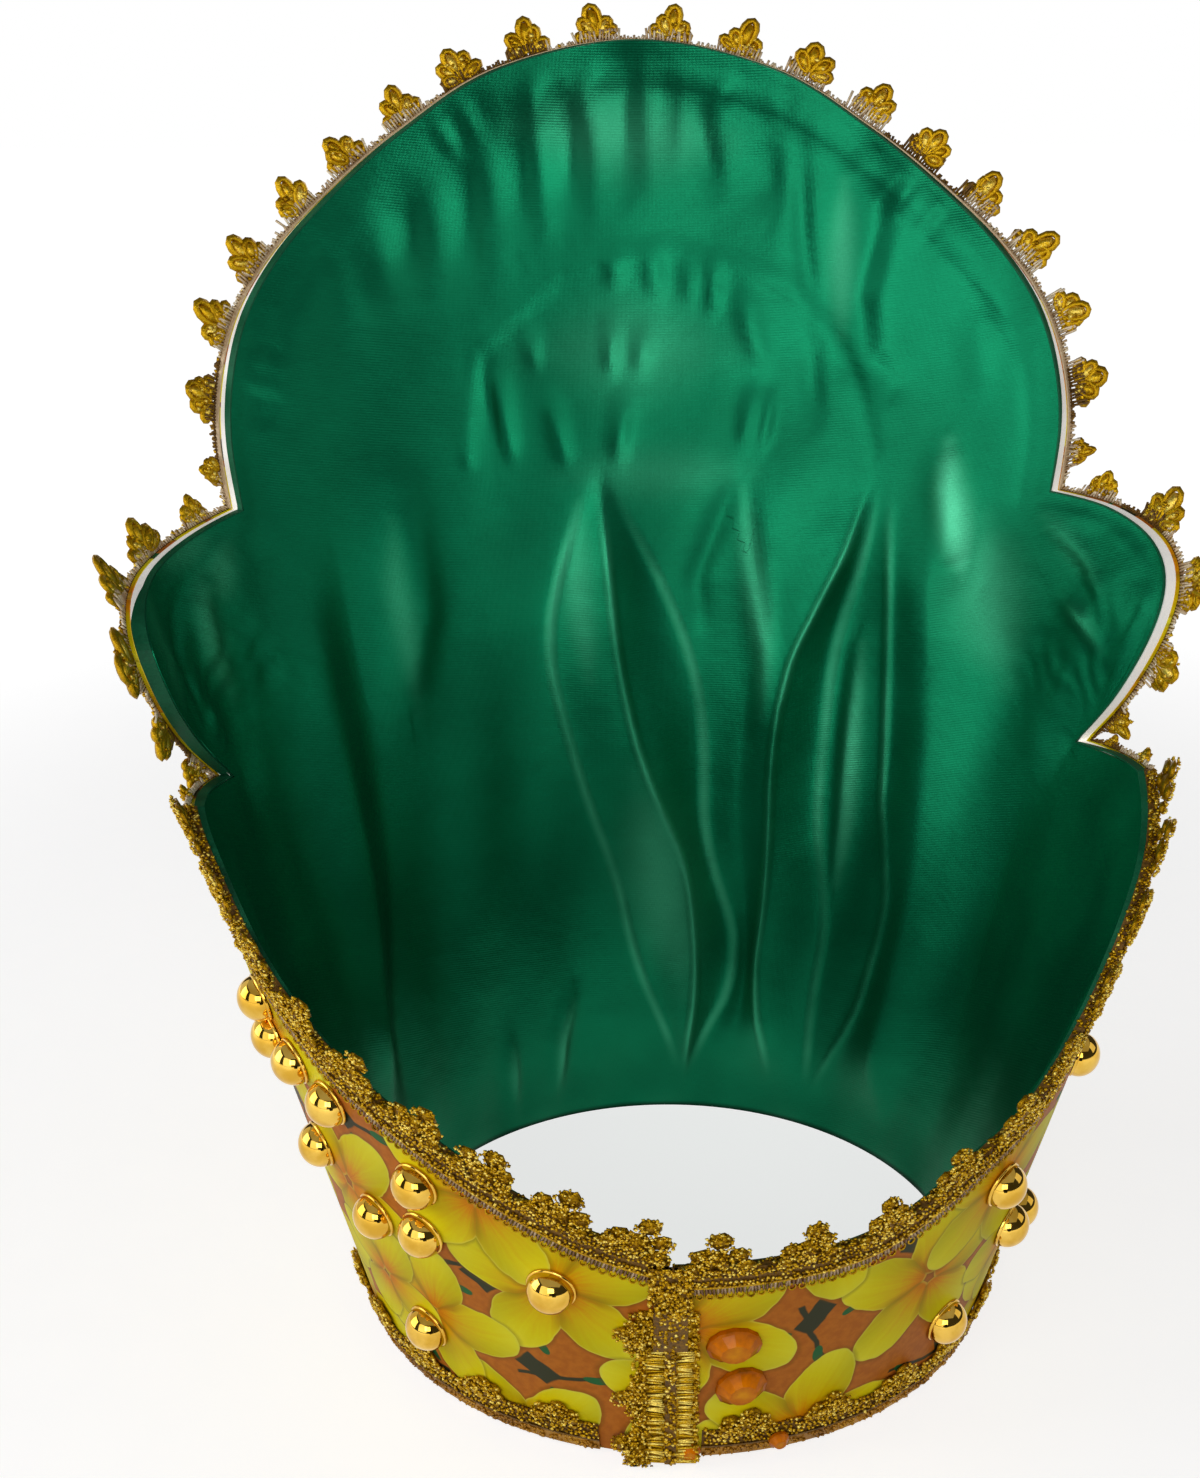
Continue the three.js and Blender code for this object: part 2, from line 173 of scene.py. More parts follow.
def wallSheet(name, part, columns, rows, foot, inner=None, outer=None, marks=None):
    depths, rimDepths = wall[part], wall["rim"][part]
    across, up = len(columns) - 1, rows[0] + rows[1]
    bm = bmesh.new()
    bmesh.ops.create_grid(bm, x_segments=across, y_segments=up, size=0.5)
    key = bm.verts.layers.int.new("spot")
    grid = np.array([v.co[:2] for v in bm.verts]) + 0.5
    column = columns[np.rint(grid[:, 0] * across).astype(int)]
    row = np.rint(grid[:, 1] * up)
    low = np.clip(row / rows[0], 0, 1)  # from the foot to the waist
    high = np.clip((row - rows[0]) / rows[1], 0, 1)  # from the waist to the edge
    angle = column[:, 0] + (column[:, 2] - column[:, 0]) * high
    height = foot + (column[:, 1] - foot) * low + (column[:, 3] - column[:, 1]) * high
    here, rim = wallPoint(angle, height, 0), wallPoint(columns[:, 2], columns[:, 3], 0)
    away = np.stack([np.linalg.norm(here - spot, axis=1) for spot in rim]) / mm
    fromEdge, nearest = away.min(axis=0), away.argmin(axis=0)
    alongEdge = runAlong(rim)[nearest] / mm
    swellIn = inner(angle, height, fromEdge, alongEdge) if inner else 0
    swellOut = outer(angle, height, fromEdge, alongEdge) if outer else 0
    pinch = smooth(fromEdge, wall["pinch"], 0) * smooth(np.abs(angle), *wall["pinchAngle"])
    pinch = pinch * smooth(height, *wall["pinchHeight"])
    near = wallPoint(angle, height, depths[0] + (rimDepths[0] - depths[0]) * pinch - swellIn)
    far = wallPoint(angle, height, depths[1] + (rimDepths[1] - depths[1]) * pinch + swellOut)
    layers = []
    for mark, valuesAt in (marks or {}).items():
        layers.append((bm.verts.layers.float.new(mark), valuesAt(angle, height)))
    for n, vert in enumerate(bm.verts):
        vert[key] = n
        vert.co = near[n]
        for layer, values in layers:
            vert[layer] = values[n]
    for vert in thicken(bm):
        vert.co = far[vert[key]]
    bmesh.ops.recalc_face_normals(bm, faces=bm.faces[:])
    flat = clothPlace(angle, height) / wall["clothUnit"]
    cloth = bm.loops.layers.uv.new("cloth")
    for face in bm.faces:
        face.smooth = True
        for loop in face.loops:
            loop[cloth].uv = flat[loop.vert[key]]
    mesh = meshFrom(bm, name)
    mesh.set_sharp_from_angle(angle=math.radians(wall["sharp"]))
    return mesh


# Finishes: shader maths as plain expressions
class Sock:
    def __init__(self, finish, socket):
        self.finish, self.socket = finish, socket

    def calc(self, operation, first, second=0.0):
        return self.finish.out("ShaderNodeMath", {"operation": operation}, {0: first, 1: second})

    def __add__(self, other):
        return self.calc("ADD", self, other)

    def __radd__(self, other):
        return self.calc("ADD", other, self)

    def __sub__(self, other):
        return self.calc("SUBTRACT", self, other)

    def __mul__(self, other):
        return self.calc("MULTIPLY", self, other)

    def __truediv__(self, other):
        return self.calc("DIVIDE", self, other)

    def __pow__(self, other):
        return self.calc("POWER", self, other)

    def __abs__(self):
        return self.calc("ABSOLUTE", self)


class Finish:
    def __init__(self, name, **fixed):
        self.material = bpy.data.materials.new(name)
        self.material.use_nodes = True
        self.tree = self.material.node_tree
        self.shader = self.tree.nodes["Principled BSDF"]
        for key, value in fixed.items():
            self.shader.inputs[key.replace("_", " ")].default_value = value

    def node(self, kind, settings=None, sockets=None):
        made = self.tree.nodes.new(kind)
        for key, value in (settings or {}).items():
            if key == "stops":
                ramp = made.color_ramp
                while len(ramp.elements) < len(value):
                    ramp.elements.new(0.5)
                for element, (spot, colour) in zip(ramp.elements, value):
                    element.position, element.color = spot, colour
            else:
                setattr(made, key, value)
        for key, value in (sockets or {}).items():
            self.feed(made.inputs[key], value)
        return made

    def feed(self, socket, value):
        if isinstance(value, Sock):
            self.tree.links.new(value.socket, socket)
        else:
            socket.default_value = value

    def out(self, kind, settings=None, sockets=None, output=0):
        return Sock(self, self.node(kind, settings, sockets).outputs[output])

    def blend(self, factor, first, second):
        return self.out("ShaderNodeMix", {"data_type": "RGBA"}, {0: factor, 6: first, 7: second}, 2)

    def ease(self, value, low, high, start=0.0, end=1.0):
        sockets = {0: value, 1: low, 2: high, 3: start, 4: end}
        return self.out("ShaderNodeMapRange", {"interpolation_type": "SMOOTHSTEP"}, sockets)

    def noise(self, where, scale, detail=2.0, rough=0.5):
        sockets = {"Vector": where, "Scale": scale, "Detail": detail, "Roughness": rough}
        return self.out("ShaderNodeTexNoise", None, sockets)

    def ramp(self, value, stops):
        return self.out("ShaderNodeValToRGB", {"stops": stops}, {0: value})

    def spot(self):
        return self.out("ShaderNodeTexCoord", None, None, 3)

    def clothSpot(self):
        return self.out("ShaderNodeUVMap", {"uv_map": "cloth"})

    def mark(self, name):  # value stored on the mesh
        return self.out("ShaderNodeAttribute", {"attribute_name": name}, None, 2)

    def join(self, x, y):
        return self.out("ShaderNodeCombineXYZ", None, {0: x, 1: y})

    def split(self, vector):
        parts = self.node("ShaderNodeSeparateXYZ", None, {0: vector})
        return [Sock(self, output) for output in parts.outputs]

    def bump(self, height, strength, distance):
        sockets = {"Strength": strength, "Distance": distance, "Height": height}
        return self.out("ShaderNodeBump", None, sockets)

    def wear(self, **links):
        for key, value in links.items():
            self.feed(self.shader.inputs[key.replace("_", " ")], value)
        return self.material


def rgb(*screen):  # a colour as seen on screen, made linear
    shares = [value / 255 for value in screen]
    return (*(c / 12.92 if c <= 0.04045 else ((c + 0.055) / 1.055) ** 2.4 for c in shares), 1.0)


satinLook = {
    # the pale green third colour paints highlights on the creases and gleams; the foot colour paints a shadow
    # at the floor
    "body": rgb(8, 130, 88), "deep": rgb(3, 106, 70), "wornAndSheen": rgb(84, 196, 150), "foot": rgb(2, 34, 22),
    "warp": 1496.0, "weft": 748.0, "slub": (900.0, 60.0),  # turns of thread, and slubs, per 100 mm
    "drift": 22.0, "crumple": 55.0, "threadRise": 0.02, "ridgeRise": 0.22, "crumpleRise": 0.5,
    "crease": 2.6, "creaseTop": (0.232, 0.2), "creaseFoot": (0.014, 0.034),  # half width in mm, heights in m
    "paintedCatch": (0.08, 0.34), "paintedFootShadow": (0.003, 0.001), "footShadowShare": 0.85, "rough": 0.36,
    "dullBelow": 0.06, "dull": 0.2,
}


def satinFinish():
    look = satinLook
    f = Finish("greenSatin", Metallic=0.7, Specular_IOR_Level=0.14)
    u, v, _ = f.split(f.clothSpot())
    _, _, z = f.split(f.spot())
    drift = f.noise(f.spot(), look["drift"], 3.0)
    slub = f.noise(f.join(u * look["slub"][0], v * look["slub"][1]), 1.0)
    crumple = f.noise(f.spot(), look["crumple"], 4.0)
    threads = u.calc("SINE", u * look["warp"]) + v.calc("SINE", v * look["weft"])
    ridge = f.ease(abs(f.mark("crease")), look["crease"], 0.0)
    ridge = ridge * f.ease(z, *look["creaseTop"]) * f.ease(z, *look["creaseFoot"])
    paintedCreaseLight = ridge * f.ease(drift, 0.3, 0.6, *look["paintedCatch"])  # painted highlight: the crease lines are tinted pale green as if catching light
    colour = f.blend(f.ease(drift * 0.7 + slub * 0.3, 0.3, 0.7), look["deep"], look["body"])
    colour = f.blend(paintedCreaseLight, colour, look["wornAndSheen"])
    # painted highlight: the satin is lightened to pale green along the gleam lines
    colour = f.blend(f.mark("sheen") * (slub * 0.8 + 0.5), colour, look["wornAndSheen"])
    # painted shadow: the satin darkens to near black within 3 mm of the floor
    colour = f.blend(f.ease(z, *look["paintedFootShadow"], 0.0, look["footShadowShare"]), colour, look["foot"])
    rise = (threads * 0.5 + slub) * look["threadRise"] + ridge * look["ridgeRise"]
    rise = rise + crumple * look["crumpleRise"]
    dull = f.ease(z, look["dullBelow"], 0.0) * look["dull"]  # less gloss down by the floor
    rough = look["rough"] + (slub - 0.5) * 0.1 + (drift - 0.5) * 0.06 + dull
    return f.wear(Base_Color=colour, Roughness=rough, Normal=f.bump(rise, 1.0, 0.001))


# Hem and card: two colours mixed by a fine and a broad speckle of (scale, detail, roughness)
hemLook = {"face": rgb(26, 112, 76), "shade": rgb(8, 84, 54), "fine": (1300.0, 3.0), "broad": (60.0,),
           "mix": (0.3, 0.7), "rough": (0.5, 0.2), "bump": (0.3, 0.0002)}
cardLook = {"face": rgb(252, 250, 246), "shade": rgb(236, 232, 224), "fine": (900.0, 4.0, 0.7),
            "broad": (35.0, 3.0), "mix": (0.35, 0.7), "rough": (0.62, 0.25), "bump": (0.25, 0.0003)}
paintedCardGlow = {"Emission_Color": (1, 0.98, 0.94, 1), "Emission_Strength": 0.28}  # painted light: the card glows a little so its edge stays white where light is dim


def plainFinish(name, look, **fixed):
    f = Finish(name, **fixed)
    fine = f.noise(f.spot(), *look["fine"])
    broad = f.noise(f.spot(), *look["broad"])
    colour = f.blend(f.ease(fine * 0.4 + broad * 0.6, *look["mix"]), look["shade"], look["face"])
    rough = look["rough"][0] + fine * look["rough"][1]
    return f.wear(Base_Color=colour, Roughness=rough, Normal=f.bump(fine, *look["bump"]))


# Floral print: flowers of oval petals on a repeat, over a ground with slanted bars and leaf tips
printLook = {
    "repeat": (104.0, 88.0), "bleed": 1.6, "weave": 15.7,
    "ground": rgb(204, 120, 38), "groundDark": rgb(190, 106, 32), "bar": rgb(56, 58, 36),
    "leaf": rgb(42, 104, 56), "rim": rgb(236, 226, 90), "fold": rgb(168, 116, 8),
    "petalShade": rgb(150, 140, 8), "cast": rgb(112, 76, 12),
    "flowers": [  # middle, petals, turn, distance to the petal's middle, half length, half width
        ((43, 82), 5, 0.35, 16, 14.5, 9.3), ((94, 38), 5, 0.9, 16.5, 15, 9.6),
        ((40, 26), 5, 0.1, 16, 14.5, 9.2), ((92, 84), 5, 1.3, 14.5, 13.5, 8.8), ((2, 8), 4, 0.5, 12, 11, 8.2),
    ],
    "bars": [  # middle, turn, half length and half width
        ((64, 54), 0.5, 15, 1.0), ((70, 60), 1.4, 6, 3.6), ((14, 56), -0.4, 13, 1.0),
        ((8, 64), 0.5, 6, 3.4), ((66, 10), 0.3, 12, 1.0), ((62, 4), 1.3, 5.5, 3.4),
    ],
    "leaves": [
        ((58, 50), 0.9, 3.6, 1.5), ((74, 50), 2.4, 4, 1.3), ((20, 52), 0.2, 4, 1.5), ((4, 70), 1.4, 3.5, 1.4),
        ((72, 2), 0.7, 4, 1.5), ((56, 16), 2.2, 3.4, 1.3), ((62, 66), 1.8, 3, 1.2),
    ],
    "petal": [(0.0, rgb(214, 104, 4)), (0.2, rgb(236, 156, 6)), (0.4, rgb(238, 200, 4)),
              (0.7, rgb(244, 226, 12)), (1.0, rgb(250, 240, 50))],
}


def printFinish():
    look = printLook
    f = Finish("floralPrint", Coat_Roughness=0.3, Specular_IOR_Level=0.08)
    wide, tall = look["repeat"]
    cloth = f.clothSpot()
    u, v, _ = f.split(cloth)
    bleed = f.node("ShaderNodeTexNoise", None, {"Vector": cloth, "Scale": 9.0, "Detail": 2.0})
    pushU, pushV, _ = f.split(Sock(f, bleed.outputs[1]))
    u = u * wall["clothUnit"] + (pushU - 0.5) * look["bleed"] * 2
    v = v * wall["clothUnit"] + (pushV - 0.5) * look["bleed"] * 2

    def wrap(value, half):
        return f.out("ShaderNodeMath", {"operation": "WRAP"}, {0: value, 1: half, 2: -half})

    def offset(middle):
        return wrap(u - middle[0], wide / 2), wrap(v - middle[1], tall / 2)

    def turned(middle, turn):
        du, dv = offset(middle)
        c, s = math.cos(turn), math.sin(turn)
        return du * c + dv * s, dv * c - du * s

    colour = f.blend(f.ease(f.noise(cloth, 40.0, 3.0), 0.3, 0.7), look["ground"], look["groundDark"])
    for middle, turn, half, width in look["bars"]:
        along, across = turned(middle, turn)
        mask = f.ease(abs(along), half, half - 0.7) * f.ease(abs(across), width, width - 0.5)
        colour = f.blend(mask, colour, look["bar"])
    for middle, turn, half, width in look["leaves"]:
        along, across = turned(middle, turn)
        mask = f.ease((along / half) ** 2.0 + (across / width) ** 2.0, 1.05, 0.8)
        colour = f.blend(mask, colour, look["leaf"])
    veins = f.noise(cloth, 75.0, 3.0)
    for middle, petals, turn, middleReach, half, width in look["flowers"]:
        du, dv = offset(middle)
        sector = math.pi / petals
        reach = (du * du + dv * dv) ** 0.5
        heading = dv.calc("ARCTAN2", dv, du) + turn
        petal = wrap(heading, sector)
        along = reach * petal.calc("COSINE", petal)
        across = reach * petal.calc("SINE", petal)
        oval = ((along - middleReach) / half) ** 2.0 + (across / width) ** 2.0
        streak = f.noise(f.join(heading * 9.0, reach * 0.02), 1.6)
        spread = reach / (middleReach + half) + (streak - 0.5) * 0.34 + (veins - 0.5) * 0.1
        tint = f.ramp(spread, look["petal"])
        fold = f.ease(abs(petal), sector * 0.6, sector) * f.ease(reach, middleReach + 4.0, middleReach - 5.0)
        tint = f.blend(fold * 0.6, tint, look["fold"])
        tint = f.blend(f.ease(across / width, -0.2, 0.9) * 0.3, tint, look["petalShade"])  # on one side only
        tint = f.blend(f.ease(oval, 0.84, 0.98) * 0.5, tint, look["rim"])
        colour = f.blend(f.ease(oval, 1.3, 1.0) * 0.4, colour, look["cast"])
        colour = f.blend(f.ease(oval, 1.0, 0.965), colour, tint)
    warp = u.calc("SINE", u * look["weave"])
    weft = v.calc("SINE", v * look["weave"])
    rough, coat = 0.45 + veins * 0.12, 0.01 + veins * 0.03
    normal = f.bump(warp * weft + veins, 0.05, 0.0002)
    return f.wear(Base_Color=colour, Roughness=rough, Coat_Weight=coat, Normal=normal)


# Lace, thread, tape and ribbon: shares of the colour with their speckles of (scale, detail, roughness)
trims = {
    "goldLace": {
        "metal": 0.65, "shine": 0.12, "toned": True,
        "speckles": [(1.0, (1900.0, 2.0, 0.6)), (0.25, (120.0,))],
        "rough": (0.24, 0.22), "bump": (0.5, 0.0004),
        "stops": [(0.0, rgb(116, 82, 2)), (0.3, rgb(176, 132, 6)), (0.7, rgb(214, 170, 22)),
                  (1.0, rgb(252, 226, 110))],
    },
    "paleThread": {
        "metal": 0.25, "shine": 0.5, "toned": True, "speckles": [(0.5, (1400.0,))],
        "rough": (0.4, 0.2), "bump": (0.4, 0.0003),
        "stops": [(0.0, rgb(120, 84, 52)), (0.5, rgb(204, 176, 138)), (1.0, rgb(240, 226, 196))],
    },
    "brownTape": {
        "metal": 0.2, "shine": 0.5, "toned": False, "speckles": [(1.0, (1100.0,))],
        "rough": (0.5, 0.3), "bump": (0.5, 0.0003),
        "stops": [(0.25, rgb(66, 42, 10)), (0.75, rgb(146, 104, 28))],
    },
    "amberRibbon": {
        "metal": 0.55, "shine": 0.5, "toned": False, "speckles": [(0.2, (1600.0,)), (0.8, (90.0, 3.0))],
        "rough": (0.3, 0.2), "bump": (0.3, 0.0003),
        "stops": [(0.3, rgb(118, 74, 6)), (0.55, rgb(172, 120, 16)), (0.8, rgb(206, 158, 46))],
    },
}


def trimFinish(name):
    look = trims[name]
    f = Finish(name, Metallic=look["metal"], Specular_IOR_Level=look["shine"])
    speckles = [f.noise(f.spot(), *speckle) for _, speckle in look["speckles"]]
    tone = f.mark("tone") if look["toned"] else 0.5
    for (share, _), speckle in zip(look["speckles"], speckles):
        tone = tone + (speckle - 0.5) * share
    colour = f.ramp(tone, look["stops"])
    rough = look["rough"][0] + speckles[0] * look["rough"][1]
    return f.wear(Base_Color=colour, Roughness=rough, Normal=f.bump(speckles[0], *look["bump"]))


studLook = {"wornAndSheen": rgb(212, 164, 56), "bright": rgb(234, 192, 88), "rough": 0.06, "scuffed": 0.1}


def studFinish():
    f = Finish("mirrorGold", Metallic=1.0)
    haze = f.noise(f.spot(), 160.0, 3.0)
    scuff = f.ease(f.noise(f.spot(), 1300.0), 0.55, 0.8)
    colour = f.blend(f.ease(haze, 0.35, 0.7), studLook["wornAndSheen"], studLook["bright"])
    rough = studLook["rough"] + scuff * studLook["scuffed"]
    return f.wear(Base_Color=colour, Roughness=rough, Normal=f.bump(haze, 0.02, 0.001))


# stone colours run from a painted bright middle to a painted dark rim
stoneLook = {"squash": 1.3, "flaw": 0.5, "rough": 0.14, "stops": [
    (0.15, rgb(255, 168, 2)), (0.45, rgb(230, 126, 0)), (0.75, rgb(182, 92, 0)), (1.0, rgb(96, 60, 4))]}


def stoneFinish(name, middle, half):  # painted light: brightest in the middle, as if lit through the stone, and painted shade darkens it to the rim
    f = Finish(name, Coat_Weight=0.05, Coat_Roughness=0.05, Specular_IOR_Level=0.06)
    x, y, z = [(part - centre) / half for part, centre in zip(f.split(f.spot()), middle)]
    away = (x**2.0 + y**2.0 + (z * stoneLook["squash"]) ** 2.0) ** 0.5
    flaw = f.noise(f.spot(), 420.0)
    colour = f.ramp(away + (flaw - 0.5) * stoneLook["flaw"], stoneLook["stops"])
    return f.wear(Base_Color=colour, Roughness=stoneLook["rough"] + flaw * 0.1)


floorLook = {"shade": rgb(186, 186, 188), "face": rgb(192, 192, 194), "middle": 0.2, "fade": (0.25, 0.85),
             "near": (0.75, 0.75, 0.75, 1), "far": (1, 1, 1, 1)}


def floorFinish():
    look = floorLook
    f = Finish("paleFloor", Emission_Strength=1.0)
    grain = f.noise(f.spot(), 60.0, 3.0)
    x, y, _ = f.split(f.spot())
    away = (x**2.0 + (y - look["middle"]) ** 2.0) ** 0.5
    glow = f.blend(f.ease(away, *look["fade"]), look["near"], look["far"])  # the glow is dimmer near the crown as painted shade around it, evenly white away from it
    colour = f.blend(grain, look["shade"], look["face"])
    return f.wear(Base_Color=colour, Roughness=0.6 + grain * 0.1, Emission_Color=glow)


satin, hemSatin = satinFinish(), plainFinish("hemSatin", hemLook, Specular_IOR_Level=0.2)
card, floral = plainFinish("whiteCard", cardLook, **paintedCardGlow), printFinish()
laceGold, paleThread, brownTape, amberRibbon = [trimFinish(name) for name in trims]
mirrorGold = studFinish()
print("finishes made:", len(bpy.data.materials))

# Camera at the photograph's place, in mm, with its lens for a 36 mm long side
shot = {"at": (-71.8, -517.7, 362.5), "down": 19.664, "turn": 6.033, "focal": 1875.18,
        "middle": (619.82, 737.46), "size": (1200, 1478), "film": 36}
acrossShot, upShot = shot["size"]
lens = bpy.data.cameras.new("shot")
lens.sensor_width = shot["film"]
lens.lens = shot["focal"] / upShot * shot["film"]
lens.shift_x = (acrossShot / 2 - shot["middle"][0]) / upShot
lens.shift_y = (shot["middle"][1] - upShot / 2) / upShot
lens.clip_start, lens.clip_end = 0.01, 60
camera = addObject("shot", lens)
down, turn = math.radians(shot["down"]), math.radians(shot["turn"])
toRight = Vector((math.cos(turn), -math.sin(turn), 0))
ahead = Vector((math.sin(turn) * math.cos(down), math.cos(turn) * math.cos(down), -math.sin(down)))
camera.matrix_world = standing(toRight, toRight.cross(ahead), -ahead, [value * mm for value in shot["at"]])
bpy.context.scene.camera = camera

